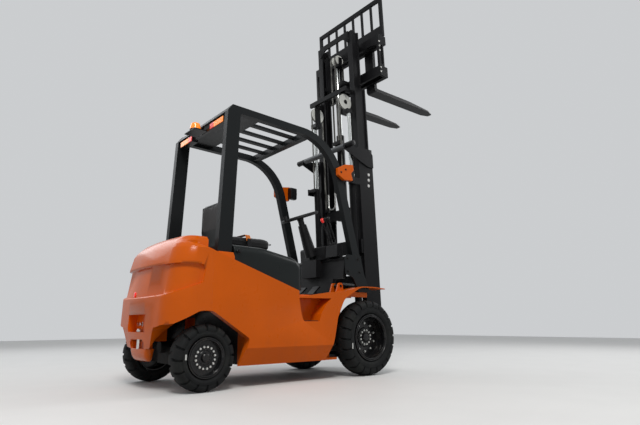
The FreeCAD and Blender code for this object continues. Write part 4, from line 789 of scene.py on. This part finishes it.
STEP_X = (-0.784, -0.634)
STEP_Y = (0.417, 0.535)
STEP_Z = 0.4802
TOW_PIN_X = -1.936
LIP_REAR_X = -1.948
LIP_FRONT_X = -1.876
LIP_TOP_Z = 0.2865
POCKET_BACK_X = -1.904
POCKET_SIDE_Y = 0.112
POCKET_TOP_Z = 0.352
# Columns: height, how far the rear face lies in, half width, corner reach
LIP_SECTIONS = (
    (0.1950, 0.050, 0.100, 0.040), (0.2005, 0.031, 0.124, 0.042), (0.2120, 0.018, 0.140, 0.042),
    (0.2320, 0.008, 0.151, 0.040), (0.2620, 0.002, 0.161, 0.034), (LIP_TOP_Z, 0.000, 0.168, 0.030))


def at(x, y, z):
    """A point given by its distance in front of the front axle."""
    return np.array([AXLE_X + x, y, z])


def lip_surface():
    """The casting's lower lip: rounded plan outlines, stacked in height, whose rear bows as x + 0.3 y^2."""
    rings = []
    for z, inset, half, reach in LIP_SECTIONS:
        rear = LIP_REAR_X + inset
        plan = rounded([(rear, -half), (rear, half), (LIP_FRONT_X, half), (LIP_FRONT_X, -half)], reach, 7)
        bow = 0.3 * plan[:, 1] ** 2 * (plan[:, 0] < (rear + LIP_FRONT_X) / 2)
        rings.append(np.column_stack([AXLE_X + plan[:, 0] + bow, plan[:, 1], np.full(len(plan), z)]))
    return grid(np.stack(rings), around=True, caps=True)


class FORKLIFT_OT_body(bpy.types.Operator):
    """Finish the frame, counterweight, axles and knuckles, with the step mats and rear fittings"""
    bl_idname = "forklift.body"
    bl_label = "Body"

    def execute(self, context):
        dress("frame", material("body paint"), 0.003)
        dress("counterweight", material("casting paint"), 0.0, smooth=28.0)
        dress("drive_axle", material("dark casting"), 0.0)
        dress("steer_axle", material("dark casting"), 0.003)
        for side in ("left", "right"):
            dress("knuckle_" + side, material("dark casting"), 0.0)
        dress("battery", material("cowl plastic"), 0.004)
        dress("floor_plate", material("mat"), 0.002)
        # each step's mat: a sheet with raised ribs along the truck
        sheet = block(at(STEP_X[0], STEP_Y[0], STEP_Z), at(STEP_X[1], STEP_Y[1], STEP_Z + 0.003))
        ribs = [block(at(STEP_X[0] + 0.004, y, STEP_Z + 0.0025),
                      at(STEP_X[1] - 0.004, y + 0.005, STEP_Z + 0.0055))
                for y in np.arange(STEP_Y[0] + 0.006, STEP_Y[1] - 0.008, 0.011)]
        build("step_mats", both_sides(join(sheet, *ribs)), material("tyre"), "chassis",
              bevel=0.0008)
        # the lower pocket's floor, back and cheeks, which close the casting under the rib
        floor_z = LIP_TOP_Z - 0.002
        wall = block(at(POCKET_BACK_X, -POCKET_SIDE_Y - 0.024, floor_z),
                     at(POCKET_BACK_X + 0.018, POCKET_SIDE_Y + 0.024, POCKET_TOP_Z - 0.001))
        cheek = block(at(LIP_REAR_X + 0.007, POCKET_SIDE_Y, floor_z),
                      at(POCKET_BACK_X + 0.001, POCKET_SIDE_Y + 0.024, POCKET_TOP_Z - 0.010))
        build("weight_lip", join(lip_surface(), wall, both_sides(cheek)), material("casting paint"), "chassis",
              smooth=35)
        pin = revolve([(0.0005, 0.283), (0.0140, 0.283), (0.0150, 0.286), (0.0150, 0.405), (0.0230, 0.408),
                       (0.0230, 0.420), (0.0150, 0.428), (0.0005, 0.430)], at(TOW_PIN_X, 0, 0), Z_AXIS, 28,
                      closed=False)
        build("tow_pin_finished", pin, material("zinc"), "chassis")
        heads = bolts("counterweight", [at(-2.3, y, 0.462) for y in (-0.112, -0.045, 0.045, 0.112)],
                      (1, 0, 0), 0.026)
        build("weight_bolts", heads, material("zinc"), "chassis")
        # a red reflector disc on the rear face, on the left only, whose glow is a painted red glint
        spot, normal = touch("counterweight", at(-2.3, 0.15, 0.684), (1, 0, 0))
        glint_disc = revolve([(0.0005, 0.0), (0.021, 0.0), (0.021, 0.005), (0.018, 0.0075), (0.0005, 0.009)],
                            spot, normal if normal[0] < 0 else -normal, 32, closed=False)
        build("rear_glint_reflector", glint_disc, material("red"), "chassis")
        return {"FINISHED"}


# Guard

LAMP_X = -1.508
LAMP_Y = 0.282
LAMP_Z = 2.103
LAMP_HALF = (0.030, 0.115, 0.028)
BEACON_X = -1.590
BEACON_DOME_Z = 2.116
HEAD_LAMP_FRONT_X = -0.125
HEAD_LAMP_Y = 0.457
HEAD_LAMP_Z = 1.884


class FORKLIFT_OT_guard(bpy.types.Operator):
    """Finish the overhead guard with its lamps, beacon and brackets"""
    bl_idname = "forklift.guard"
    bl_label = "Overhead guard"

    def execute(self, context):
        dress("overhead_guard", material("guard paint"), 0.004)
        dress("lamp_brackets", material("body paint"), 0.002)
        dress("head_lamps", material("lamp plastic"), 0.003)
        dress("rear_lamps", material("lamp plastic"), 0.003)
        dress("beacon", material("lamp plastic"), 0.0015)
        half_x, half_y, half_z = LAMP_HALF
        rear = LAMP_X - half_x
        split = LAMP_Y - half_y * 0.4
        # Columns: piece, finish, from and to across the truck
        for name, finish, y0, y1 in (("turn_lenses", "amber", split + 0.001, LAMP_Y + half_y - 0.004),
                                     ("stop_lenses", "red", LAMP_Y - half_y + 0.004, split - 0.001)):
            lens_block = block(at(rear - 0.0045, y0, LAMP_Z - half_z + 0.004),
                               at(rear + 0.010, y1, LAMP_Z + half_z - 0.004))
            build(name, both_sides(lens_block), material(finish), "chassis", bevel=0.003)
        dome = revolve([(0.0005, 0.0), (0.0482, 0.0), (0.0482, 0.004), (0.0376, 0.0520), (0.0366, 0.0545),
                        (0.0300, 0.0562), (0.0005, 0.0570)], at(BEACON_X, 0, BEACON_DOME_Z), Z_AXIS, 48,
                       closed=False)
        build("beacon_dome", dome, material("amber"), "chassis")
        centre = at(HEAD_LAMP_FRONT_X - 0.0004, HEAD_LAMP_Y, HEAD_LAMP_Z)
        glass = revolve([(0.0005, 0.0), (0.0280, 0.0), (0.0280, 0.0030), (0.0200, 0.0060), (0.0100, 0.0075),
                         (0.0005, 0.0080)], centre, X_AXIS, 40, closed=False)
        angle = np.linspace(0.0, 2.0 * math.pi, 40, endpoint=False)
        ring = np.column_stack([np.full(40, centre[0] + 0.003), centre[1] + 0.0290 * np.cos(angle),
                                centre[2] + 0.0290 * np.sin(angle)])
        build("head_lamp_glasses", both_sides(glass), material("clear"), "chassis")
        build("head_lamp_rings", both_sides(tube(ring, 0.0026, 8, closed=True)), material("zinc"), "chassis")
        heads = bolts("lamp_brackets", [at(x, 0.7, z) for x, z in ((-0.275, 1.900), (-0.335, 1.862))],
                      (0, -1, 0), 0.014)
        feet = bolts("overhead_guard", [at(x, 0.7, z) for x, z in (
            (-0.245, 1.050), (-0.110, 1.050), (-0.240, 0.930), (-0.090, 0.930), (-0.070, 0.790),
            (0.005, 0.790))], (0, -1, 0), 0.019)
        build("guard_bolts", both_sides(join(heads, feet)), material("dark casting"), "chassis")
        return {"FINISHED"}


# Hood and seat

def pad_surface(low, high, crown, power=4.0, rows=48, columns=48):
    """A closed cushion: a superellipsoid |x|^p + |y|^p + |z|^p = 1 stretched over the box, crowned on top.

    x = a f(u) c, with f(u) = sign(cos u)|cos u|^(2/p), and the upper half rises by crown (1 - x^2)(1 - y^2).
    """
    low = np.asarray(low, float)
    high = np.asarray(high, float)
    centre = (low + high) / 2.0
    half = (high - low) / 2.0
    u = np.linspace(-math.pi / 2 + 0.01, math.pi / 2 - 0.01, rows)[:, None]
    v = np.linspace(0.0, 2.0 * math.pi, columns, endpoint=False)[None]
    curve = 2.0 / power

    def shaped(value):
        return np.sign(value) * np.abs(value) ** curve

    x = shaped(np.cos(u)) * shaped(np.cos(v))
    y = shaped(np.cos(u)) * shaped(np.sin(v))
    z = shaped(np.sin(u)) * np.ones_like(v)
    z = np.where(z > 0, z * (1.0 + crown * (1 - x ** 2) * (1 - y ** 2)) / (1.0 + crown), z)
    return grid(np.stack([centre[0] + half[0] * x, centre[1] + half[1] * y, centre[2] + half[2] * z], -1),
                around=True, caps=True)


def settled(obj):
    """The object's mesh with its modifiers worked out."""
    graph = bpy.context.evaluated_depsgraph_get()
    return bpy.data.meshes.new_from_object(obj.evaluated_get(graph))


def inflate(obj, cap, voxel=0.007, pressure=4.0):
    """Swells a closed pad like stuffed cloth, with no point moving further than cap from where it began."""
    remesh = obj.modifiers.new("Even cells", "REMESH")
    remesh.mode = "VOXEL"
    remesh.voxel_size = voxel
    mesh = settled(obj)
    obj.modifiers.clear()
    mesh.materials.clear()
    mesh.materials.append(obj.data.materials[0])
    obj.data = mesh
    count = len(mesh.vertices)
    before = np.empty(count * 3)
    mesh.vertices.foreach_get("co", before)
    cloth = obj.modifiers.new("Stuffing", "CLOTH")
    cloth.settings.use_pressure = True
    cloth.settings.uniform_pressure_force = pressure
    cloth.settings.effector_weights.gravity = 0.0
    for number in range(1, 21):
        bpy.context.scene.frame_set(number)
    blown = settled(obj)
    after = np.empty(count * 3)
    blown.vertices.foreach_get("co", after)
    obj.modifiers.clear()
    bpy.context.scene.frame_set(1)
    step = (after - before).reshape(-1, 3)
    length = np.linalg.norm(step, axis=1)
    step *= np.minimum(1.0, cap / np.maximum(length, 1e-9))[:, None]
    mesh.vertices.foreach_set("co", (before.reshape(-1, 3) + step).ravel())
    mesh.update()
    mesh.shade_smooth()


def sew(obj, axis, lines, across, depth, width, facing, least):
    """Presses sewn channels into a pad: a point sinks by depth exp(-((p - line) / width)^2) for each line.

    Only the points that face the given way, lie past least on it and lie within across of the middle move.
    """
    mesh = obj.data
    points = np.empty(len(mesh.vertices) * 3)
    mesh.vertices.foreach_get("co", points)
    points = points.reshape(-1, 3)
    sink = np.zeros(len(points))
    for line in lines:
        sink += np.exp(-((points[:, axis] - line) / width) ** 2)
    inside = np.clip((across - np.abs(points[:, 1])) / 0.012, 0.0, 1.0)
    way = np.asarray(facing, float)
    front = np.clip((points @ way - least) / 0.010, 0.0, 1.0)
    points -= way[None] * (depth * sink * inside * front)[:, None]
    mesh.vertices.foreach_set("co", points.ravel())
    mesh.update()


SEAT_SWELL = 0.007
SEAT_X = (-1.340, -0.886)
SEAT_Y = 0.218
SEAT_Z = (1.0925, 1.190)
REST_X = -1.3500
REST_Y = 0.203
REST_Z = (1.196, 1.492)
BELT_X = -1.150


class FORKLIFT_OT_hood(bpy.types.Operator):
    """Finish the battery hood and upholster the seat, with its piping and belt"""
    bl_idname = "forklift.hood"
    bl_label = "Hood and seat"

    def execute(self, context):
        dress("hood", material("hood plastic"), 0.006)
        pad = pad_surface(at(SEAT_X[0] + SEAT_SWELL, -SEAT_Y + SEAT_SWELL, SEAT_Z[0] + 0.002),
                          at(SEAT_X[1] - SEAT_SWELL, SEAT_Y - SEAT_SWELL, SEAT_Z[1] - SEAT_SWELL), 0.04, 6.0)
        points = pad[0]
        share = np.clip((points[:, 2] - SEAT_Z[0]) / (SEAT_Z[1] - SEAT_Z[0]), 0.0, 1.0)
        side = np.clip((np.abs(points[:, 1]) - 0.125) / 0.055, 0.0, 1.0)
        along = (points[:, 0] - AXLE_X - SEAT_X[0]) / (SEAT_X[1] - SEAT_X[0])
        points[:, 2] += share * (0.014 * side ** 2 * (3 - 2 * side) + 0.010 * along - 0.016)
        seat = build("seat_cushion_cover", pad, material("vinyl"), "hood_body",
                     ("seat_cushion",))
        inflate(seat, SEAT_SWELL)
        sew(seat, 0, [AXLE_X + x for x in (-1.235, -1.165, -1.095, -1.025)], 0.13, 0.0045, 0.006, (0, 0, 1),
            SEAT_Z[1] - 0.035)
        back = pad_surface(at(REST_X - 0.045 + SEAT_SWELL, -REST_Y + SEAT_SWELL, REST_Z[0] + SEAT_SWELL),
                           at(REST_X + 0.045 - SEAT_SWELL, REST_Y - SEAT_SWELL, REST_Z[1] - SEAT_SWELL), 0.0,
                           6.0)
        points = back[0]
        share = (points[:, 2] - REST_Z[0]) / (REST_Z[1] - REST_Z[0])
        middle_x = AXLE_X + REST_X
        points[:, 0] = middle_x + (points[:, 0] - middle_x) * (1.0 - 0.32 * share) - 0.018 * share
        wing = np.clip((np.abs(points[:, 1]) - 0.12) / 0.06, 0.0, 1.0)
        points[:, 0] += 0.008 * wing * (points[:, 0] > middle_x - 0.02)
        rest = build("seat_back_cover", back, material("vinyl"), "hood_body", ("seat_back",))
        inflate(rest, SEAT_SWELL)
        sew(rest, 2, (1.262, 1.322, 1.382, 1.442), 0.125, 0.004, 0.006, (1, 0, 0), middle_x + 0.012)
        # the moulded shell that carries the backrest, behind the cushion and up its rear face
        shell = slab([(AXLE_X + x, z) for x, z in (
            (-1.373, 1.0905), (-1.350, 1.0905), (-1.350, 1.188), (-1.372, 1.205), (-1.376, 1.440),
            (-1.384, 1.468), (-1.3945, 1.468), (-1.3945, 1.240), (-1.373, 1.150))], -0.172, 0.172)
        build("seat_shell", shell, material("hood plastic"), "hood_body", bevel=0.004)
        rear, front, side = AXLE_X + SEAT_X[0] + 0.004, AXLE_X + SEAT_X[1] - 0.004, SEAT_Y - 0.003
        corners = rounded([(rear, -side), (front, -side), (front, side), (rear, side)], 0.060, 9)
        seam = np.column_stack([corners, np.full(len(corners), SEAT_Z[0] + 0.052)])
        build("seat_piping", tube(seam, 0.0032, 6, closed=True), material("vinyl"), "hood_body")
        # the belt lies over the cushion from a buckle on the right to a reel on the left
        y = np.linspace(-SEAT_Y - 0.008, SEAT_Y + 0.008, 60)
        share = np.abs(y) / SEAT_Y
        top = SEAT_Z[1] + 0.016 - 0.060 * np.clip((share - 0.86) / 0.18, 0.0, 1.0) ** 2
        belt = bar(np.column_stack([np.full(60, AXLE_X + BELT_X), y, top]), X_AXIS, 0.047, 0.0022)
        build("seat_belt", belt, material("belt"), "hood_body", smooth=50)
        buckle = block(at(BELT_X - 0.020, -0.240, 1.098), at(BELT_X + 0.020, -0.2265, 1.168))
        reel = block(at(BELT_X - 0.032, 0.2265, 1.092), at(BELT_X + 0.032, 0.246, 1.150))
        build("belt_buckle", join(buckle, reel), material("lamp plastic"), "hood_body",
              bevel=0.004)
        spot, normal = touch("hood", at(-1.42, -0.8, 1.000), (0, 1, 0))
        normal = normal if normal[1] < 0 else -normal
        knob = revolve([(0.0005, 0.0), (0.016, 0.0), (0.016, 0.006), (0.011, 0.010), (0.011, 0.016),
                        (0.017, 0.020), (0.015, 0.027), (0.0005, 0.028)], spot, normal, 28, closed=False)
        build("hood_knob", knob, material("lamp plastic"), "hood_body")
        return {"FINISHED"}


# Cockpit

LEVER_ROOT = (-0.232, 1.190)
LEVER_WAY = (-0.3872, 0.9220)
LEVER_LENGTH = 0.270
LEVER_Y = (-0.250, -0.292, -0.334)


class FORKLIFT_OT_cockpit(bpy.types.Operator):
    """Finish the cowl, controls and steering wheel, with the lever knobs and their sleeves"""
    bl_idname = "forklift.cockpit"
    bl_label = "Cockpit"

    def execute(self, context):
        dress("cowl", material("cowl plastic"), 0.004)
        dress("controls", material("lamp plastic"), 0.002)
        dress("steering_wheel", material("cowl plastic"), 0.0)
        way = np.array([LEVER_WAY[0], 0.0, LEVER_WAY[1]])
        knobs = {"lamp plastic": [], "red": []}
        sleeves = []
        for y, finish in zip(LEVER_Y, ("red", "lamp plastic", "lamp plastic")):
            root = at(LEVER_ROOT[0], y, LEVER_ROOT[1])
            ball = root + way * LEVER_LENGTH
            knobs[finish].append(revolve([(0.0005, -0.0260), (0.0095, -0.0255), (0.0125, -0.0180),
                                          (0.0176, -0.0080), (0.0182, 0.0020), (0.0160, 0.0120),
                                          (0.0090, 0.0190), (0.0005, 0.0205)], ball, way, 24, closed=False))
            sleeves.append(revolve([(0.0072, 0.055), (0.0072, 0.244), (0.0067, 0.245), (0.0067, 0.054)],
                                   root, way, 16))
            sleeves.append(revolve([(0.0066, -0.002), (0.0200, -0.002), (0.0170, 0.010), (0.0185, 0.016),
                                    (0.0140, 0.024), (0.0150, 0.030), (0.0100, 0.038), (0.0066, 0.040)],
                                   root, way, 20))
        build("lever_knobs_black", join(*knobs["lamp plastic"]), material("lamp plastic"), "chassis")
        # the red lens finish glows on this knob: a painted glow, for a knob is no lamp
        build("lever_knob_red", join(*knobs["red"]), material("red"), "chassis")
        build("lever_sleeves", join(*sleeves), material("hose"), "chassis")
        return {"FINISHED"}


# Mast, in the upright mast's own (u, z): u in front of the axle

ROD_U = 0.125
PULLEY_Y = 0.230
PULLEY_Z = 2.804
LIFT_CHAIN_R = 0.081
LIFT_CHAIN_W = 0.016
LIFT_ANCHOR_Z = 1.920
LIFT_END_Z = 1.700
FREE_U = 0.258
FREE_PULLEY_Z = 3.430
FREE_CHAIN_R = 0.058
FREE_CHAIN_W = 0.020
FREE_CHAIN_Y = 0.032
FREE_ANCHOR_Z = 2.440
FREE_END_Z = 3.197
CHAIN_PITCH = 0.0159
OUTER_SIDE_Y = 0.335
CHEEK_BOLT_U = 0.416
CHEEK_BOLT_Z = (3.500, 3.445, 3.390, 3.185, 3.135)


def chain_plates(pins, y, width, leaves=4, height=0.0112):
    """A leaf chain over a row of (u, z) pins: stacked plates with round ends and a waist between them.

    A plate's outline is (a cos t, b sin t (1 - w sin^2 t)), long enough to lap both of its pins.
    """
    t = np.linspace(0.0, 2.0 * math.pi, 10, endpoint=False)
    gap = width / leaves
    parts = []
    for i in range(len(pins) - 1):
        along = pins[i + 1] - pins[i]
        step = np.linalg.norm(along)
        along = along / step
        across = np.array([along[1], -along[0]])
        a = np.cos(t) * (step / 2 + height * 0.40)
        b = np.sin(t) * height / 2 * (1.0 - 0.16 * np.sin(t) ** 2)
        flat = (pins[i] + pins[i + 1]) / 2 + a[:, None] * along + b[:, None] * across
        for leaf in range(leaves):
            # every second plate is a little thinner, as the inner plates of a real chain are
            thin = 0.0002 if (leaf + i) % 2 == 0 else 0.0004
            y0 = y - width / 2 + gap * leaf + thin
            parts.append(slab(flat, y0, y0 + gap - 2 * thin))
    for u, z in pins:
        parts.append(revolve([(0.0003, -width / 2 - 0.0006), (0.0026, -width / 2 - 0.0006),
                              (0.0026, width / 2 + 0.0006), (0.0003, width / 2 + 0.0006)], (u, y, z), Y_AXIS,
                             8, closed=False))
    return lean(join(*parts))


def straight_pins(u, z0, z1):
    count = max(2, int(round(abs(z1 - z0) / CHAIN_PITCH)))
    return np.column_stack([np.full(count + 1, u), np.linspace(z0, z1, count + 1)])


def wrap_pins(u, z, radius):
    """Pins half way round a pulley, from behind it over its top to its front."""
    count = max(4, int(round(math.pi * radius / CHAIN_PITCH)))
    angle = np.linspace(math.pi, 0.0, count + 1)
    return np.column_stack([u + radius * np.cos(angle), z + radius * np.sin(angle)])


class FORKLIFT_OT_mast(bpy.types.Operator):
    """Finish the three mast stages with their cylinders, sheaves and leaf chains"""
    bl_idname = "forklift.mast"
    bl_label = "Mast"

    def execute(self, context):
        for stage in ("outer_mast", "middle_mast", "inner_mast"):
            dress(stage, material("mast paint"), 0.003)
        dress("lift_barrels", material("mast paint"), 0.0)
        dress("lift_rods", material("chrome"), 0.0)
        dress("chain_pulleys", material("pulley plastic"), 0.001)
        dress("free_lift_barrel", material("mast paint"), 0.0)
        dress("free_lift_head", material("mast paint"), 0.0)
        for side in ("left", "right"):
            dress("tilt_barrel_" + side, material("mast paint"), 0.0)
            dress("tilt_rod_" + side, material("chrome"), 0.0)
        self.chains()
        self.sheaves()
        self.fittings()
        return {"FINISHED"}

    def chains(self):
        for side, sign in (("left", 1), ("right", -1)):
            y = sign * PULLEY_Y
            rear_u, front_u = ROD_U - LIFT_CHAIN_R, ROD_U + LIFT_CHAIN_R
            free_y = sign * FREE_CHAIN_Y
            free_rear, free_front = FREE_U - FREE_CHAIN_R, FREE_U + FREE_CHAIN_R
            # the strand's top follows the pulley, which moves half as far as the carriage
            mirrored_z = 2 * FREE_PULLEY_Z - FREE_END_Z
            # Columns: piece, pins, y, width, body or blend, node that it stands for
            runs = (
                ("lift_chain_rear_", straight_pins(rear_u, LIFT_ANCHOR_Z, PULLEY_Z), y, LIFT_CHAIN_W,
                 ("outer_stage", "middle_stage", leaned_point(rear_u, y, LIFT_ANCHOR_Z),
                  leaned_point(rear_u, y, PULLEY_Z)), ("lift_chains",)),
                ("lift_chain_wrap_", wrap_pins(ROD_U, PULLEY_Z, LIFT_CHAIN_R), y, LIFT_CHAIN_W,
                 "middle_stage", ()),
                ("lift_chain_front_", straight_pins(front_u, PULLEY_Z, LIFT_END_Z), y, LIFT_CHAIN_W,
                 ("middle_stage", "inner_stage", leaned_point(front_u, y, PULLEY_Z),
                  leaned_point(front_u, y, LIFT_END_Z)), ()),
                ("free_chain_rear_", straight_pins(free_rear, FREE_ANCHOR_Z, FREE_PULLEY_Z), free_y,
                 FREE_CHAIN_W, ("inner_stage", "free_head", leaned_point(free_rear, free_y, FREE_ANCHOR_Z),
                                leaned_point(free_rear, free_y, FREE_PULLEY_Z)), ("free_lift_chains",)),
                ("free_chain_wrap_", wrap_pins(FREE_U, FREE_PULLEY_Z, FREE_CHAIN_R), free_y, FREE_CHAIN_W,
                 "free_head", ()),
                ("free_chain_front_", straight_pins(free_front, FREE_PULLEY_Z, FREE_END_Z), free_y,
                 FREE_CHAIN_W, ("inner_stage", "carriage_body", leaned_point(free_front, free_y, mirrored_z),
                                leaned_point(free_front, free_y, FREE_END_Z)), ()),
            )
            for name, pins, where, width, body, stands_for in runs:
                build(name + side, chain_plates(pins, where, width), material("chain"), body,
                      stands_for, smooth=30)

    def sheaves(self):
        wheels = []
        for sign in (-1, 1):
            wheels.append(revolve([(0.0135, -0.0154), (0.0586, -0.0154), (0.0586, -0.0112), (0.0512, -0.0108),
                                   (0.0512, 0.0108), (0.0586, 0.0112), (0.0586, 0.0154), (0.0135, 0.0154)],
                                  (FREE_U, sign * FREE_CHAIN_Y, FREE_PULLEY_Z), Y_AXIS, 56))
        build("free_sheaves", lean(join(*wheels)), material("pulley plastic"), "free_head",
              bevel=0.0008)
        # the chrome stands a hair outside the rod and still enters the barrel's gland
        sleeve = revolve([(0.02606, 2.512), (0.02606, 3.345), (0.0255, 3.346), (0.0255, 2.511)],
                         (FREE_U, 0, 0), Z_AXIS, 96)
        build("free_rod_chrome", lean(sleeve), material("chrome"), "free_head")
        pins = []
        for y in (PULLEY_Y + 0.0125, -PULLEY_Y - 0.0125):
            pins.append(disc((ROD_U, y, PULLEY_Z), Y_AXIS if y > 0 else -Y_AXIS, 0.0230, 0.0045, 28))
            pins.append(hexagon((ROD_U, y + math.copysign(0.004, y), PULLEY_Z), Y_AXIS if y > 0 else -Y_AXIS,
                                0.026, 0.009))
        build("sheave_pins", lean(join(*pins)), material("dark casting"), "middle_stage")

    def fittings(self):
        # pale tie tube with dark caps
        tie = revolve([(0.0293, -0.3230), (0.0293, 0.3230), (0.0290, 0.3230), (0.0290, -0.3230)],
                      (0.005, 0, 2.252), Y_AXIS, 44)
        build("tie_tube_paint", lean(tie), material("grey paint"), "outer_stage")
        caps = [disc((0.005, sign * 0.4398, 2.252), sign * Y_AXIS, 0.0300, 0.005, 36) for sign in (-1, 1)]
        build("tie_tube_caps", lean(join(*caps)), material("lamp plastic"), "outer_stage")
        marks = [disc(at(x, -OUTER_SIDE_Y, z), -Y_AXIS, 0.0165, 0.0009, 28) for x, z in
                 ((0.248, 2.000), (0.2455, 1.940), (0.243, 1.877))]
        build("mast_labels", join(*marks), material("sticker"), "outer_stage")
        # feed pipe that loops round at the foot of the inner stage
        turn = np.linspace(0.0, math.pi, 18)
        bend = np.column_stack([np.full(18, 0.205), 0.130 + 0.055 * np.cos(turn),
                                1.735 - 0.055 * np.sin(turn)])
        pipe = np.concatenate([[(0.205, 0.185, 1.860)], bend, [(0.205, 0.075, 1.860)]])
        build("feed_pipe", lean(tube(pipe, 0.0085, 12)), material("zinc"), "inner_stage")


class FORKLIFT_OT_carriage(bpy.types.Operator):
    """Finish the carriage, the load backrest and the forks"""
    bl_idname = "forklift.carriage"
    bl_label = "Carriage"

    def execute(self, context):
        dress("carriage", material("mast paint"), 0.003)
        dress("load_backrest", material("mast paint"), 0.003)
        for side in ("left", "right"):
            dress("fork_" + side, material("fork paint"), 0.004)
        heads = bolts("carriage", [leaned_point(CHEEK_BOLT_U, 0.8, z) for z in CHEEK_BOLT_Z], (0, -1, 0),
                      0.015)
        build("carriage_bolts", both_sides(heads), material("zinc"), "carriage_body")
        return {"FINISHED"}


# Stage

CAMERA_FROM_AXLE = (-3.3066, -3.6405, 0.4536)
CAMERA_YAW = math.radians(49.07)
CAMERA_PITCH = math.radians(13.27)
CAMERA_ROLL = math.radians(-0.27)
CAMERA_FOCAL_PX = 474.4
PICTURE_WIDTH = 640.0
SENSOR_MM = 36.0


WORLD_COLOUR = (0.88, 0.90, 0.92)
WORLD_LIGHT = 0.42
WORLD_SEEN = 0.68


def seen(tree):
    """1 for what the camera, a glossy surface or glass shows, and 0 for the light that falls on the truck."""
    path = tree.nodes.new("ShaderNodeLightPath")
    total = path.outputs["Is Camera Ray"]
    for name in ("Is Glossy Ray", "Is Transmission Ray"):
        node = tree.nodes.new("ShaderNodeMath")
        node.operation = "MAXIMUM"
        tree.links.new(total, node.inputs[0])
        tree.links.new(path.outputs[name], node.inputs[1])
        total = node.outputs[0]
    return total


def floor_material():
    """A pale floor: paler where it is seen than in the light it throws back, and it keeps the shadow."""
    n = Nodes("pale_floor", (0.62, 0.62, 0.61), 0.6, specular=0.2)
    tone = n.noise(2.5, 4.0)
    n.colour(n.mix(seen(n.tree), n.mix(tone, (0.36, 0.36, 0.35), (0.40, 0.40, 0.39)),
                   n.mix(tone, (0.84, 0.84, 0.83), (0.90, 0.90, 0.89))))
    return n.material


class FORKLIFT_OT_stage(bpy.types.Operator):
    """Lay the floor, hang the lights and set the camera at the photograph's angle"""
    bl_idname = "forklift.stage"
    bl_label = "Stage"

    def execute(self, context):
        scene = context.scene
        reach = 14.0
        floor = build_stage_floor(reach)
        world = bpy.data.worlds.new("Studio")
        world.use_nodes = True
        back = world.node_tree.nodes["Background"]
        back.inputs["Color"].default_value = (*WORLD_COLOUR, 1.0)
        level = world.node_tree.nodes.new("ShaderNodeMapRange")
        level.inputs["To Min"].default_value = WORLD_LIGHT
        level.inputs["To Max"].default_value = WORLD_SEEN
        world.node_tree.links.new(seen(world.node_tree), level.inputs["Value"])
        world.node_tree.links.new(level.outputs["Result"], back.inputs["Strength"])
        scene.world = world
        # Columns: name, place, size, watts, colour
        lamps = (
            ("key", (-3.6, -4.0, 6.6), 2.2, 260.0, (1.0, 0.98, 0.95)),
            ("fill", (-2.0, 6.0, 5.0), 4.0, 90.0, (0.95, 0.97, 1.0)),
            ("front", (6.0, -1.5, 5.0), 3.5, 120.0, (1.0, 1.0, 1.0)),
        )
        for name, spot, size, watts, colour in lamps:
            data = bpy.data.lights.new(name, "AREA")
            data.shape = "SQUARE"
            data.size = size
            data.energy = watts
            data.color = colour
            lamp = bpy.data.objects.new(name, data)
            lamp.location = spot
            aim = Vector((0.0, 0.0, 1.2)) - Vector(spot)
            lamp.rotation_euler = aim.to_track_quat("-Z", "Y").to_euler()
            scene.collection.objects.link(lamp)
        data = bpy.data.cameras.new("Camera")
        data.sensor_width = SENSOR_MM
        data.lens = CAMERA_FOCAL_PX / PICTURE_WIDTH * SENSOR_MM
        data.clip_end = 100.0
        camera = bpy.data.objects.new("Camera", data)
        forward = Vector((math.cos(CAMERA_PITCH) * math.cos(CAMERA_YAW),
                          math.cos(CAMERA_PITCH) * math.sin(CAMERA_YAW), math.sin(CAMERA_PITCH)))
        rotation = forward.to_track_quat("-Z", "Y").to_matrix().to_4x4()
        rotation = rotation @ Matrix.Rotation(CAMERA_ROLL, 4, "Z")
        camera.matrix_world = Matrix.Translation(
            Vector(CAMERA_FROM_AXLE) + Vector((AXLE_X, 0.0, 0.0))) @ rotation
        scene.collection.objects.link(camera)
        scene.camera = camera
        scene.view_settings.view_transform = "Standard"
        return {"FINISHED"}


def build_stage_floor(reach):
    mesh = bpy.data.meshes.new("floor")
    mesh.from_pydata([(-reach, -reach, 0), (reach, -reach, 0), (reach, reach, 0), (-reach, reach, 0)], [],
                     [(0, 1, 2, 3)])
    mesh.materials.append(floor_material())
    floor = bpy.data.objects.new("floor", mesh)
    bpy.context.scene.collection.objects.link(floor)
    return floor


class FORKLIFT_PT_panel(bpy.types.Panel):
    """Lists the steps that dress the truck"""
    bl_idname = "FORKLIFT_PT_panel"
    bl_label = "Forklift"
    bl_space_type = "VIEW_3D"
    bl_region_type = "UI"
    bl_category = "Forklift"

    def draw(self, context):
        column = self.layout.column()
        for group in (context.scene.forklift_look, context.scene.forklift_tyres):
            for name in group.__annotations__:
                column.prop(group, name)
        for operator in OPERATORS:
            column.operator(operator.bl_idname)


OPERATORS = (FORKLIFT_OT_stage, FORKLIFT_OT_wheels, FORKLIFT_OT_body, FORKLIFT_OT_guard, FORKLIFT_OT_hood,
             FORKLIFT_OT_cockpit, FORKLIFT_OT_mast, FORKLIFT_OT_carriage)
CLASSES = (ForkliftLook, ForkliftTyres, *OPERATORS, FORKLIFT_PT_panel)


def register():
    for cls in CLASSES:
        bpy.utils.register_class(cls)
    bpy.types.Scene.forklift_look = PointerProperty(type=ForkliftLook)
    bpy.types.Scene.forklift_tyres = PointerProperty(type=ForkliftTyres)


def unregister():
    del bpy.types.Scene.forklift_tyres
    del bpy.types.Scene.forklift_look
    for cls in reversed(CLASSES):
        bpy.utils.unregister_class(cls)


def main():
    register()
    for operator in OPERATORS:
        group, name = operator.bl_idname.split(".")
        getattr(getattr(bpy.ops, group), name)()


if __name__ == "__main__":
    main()
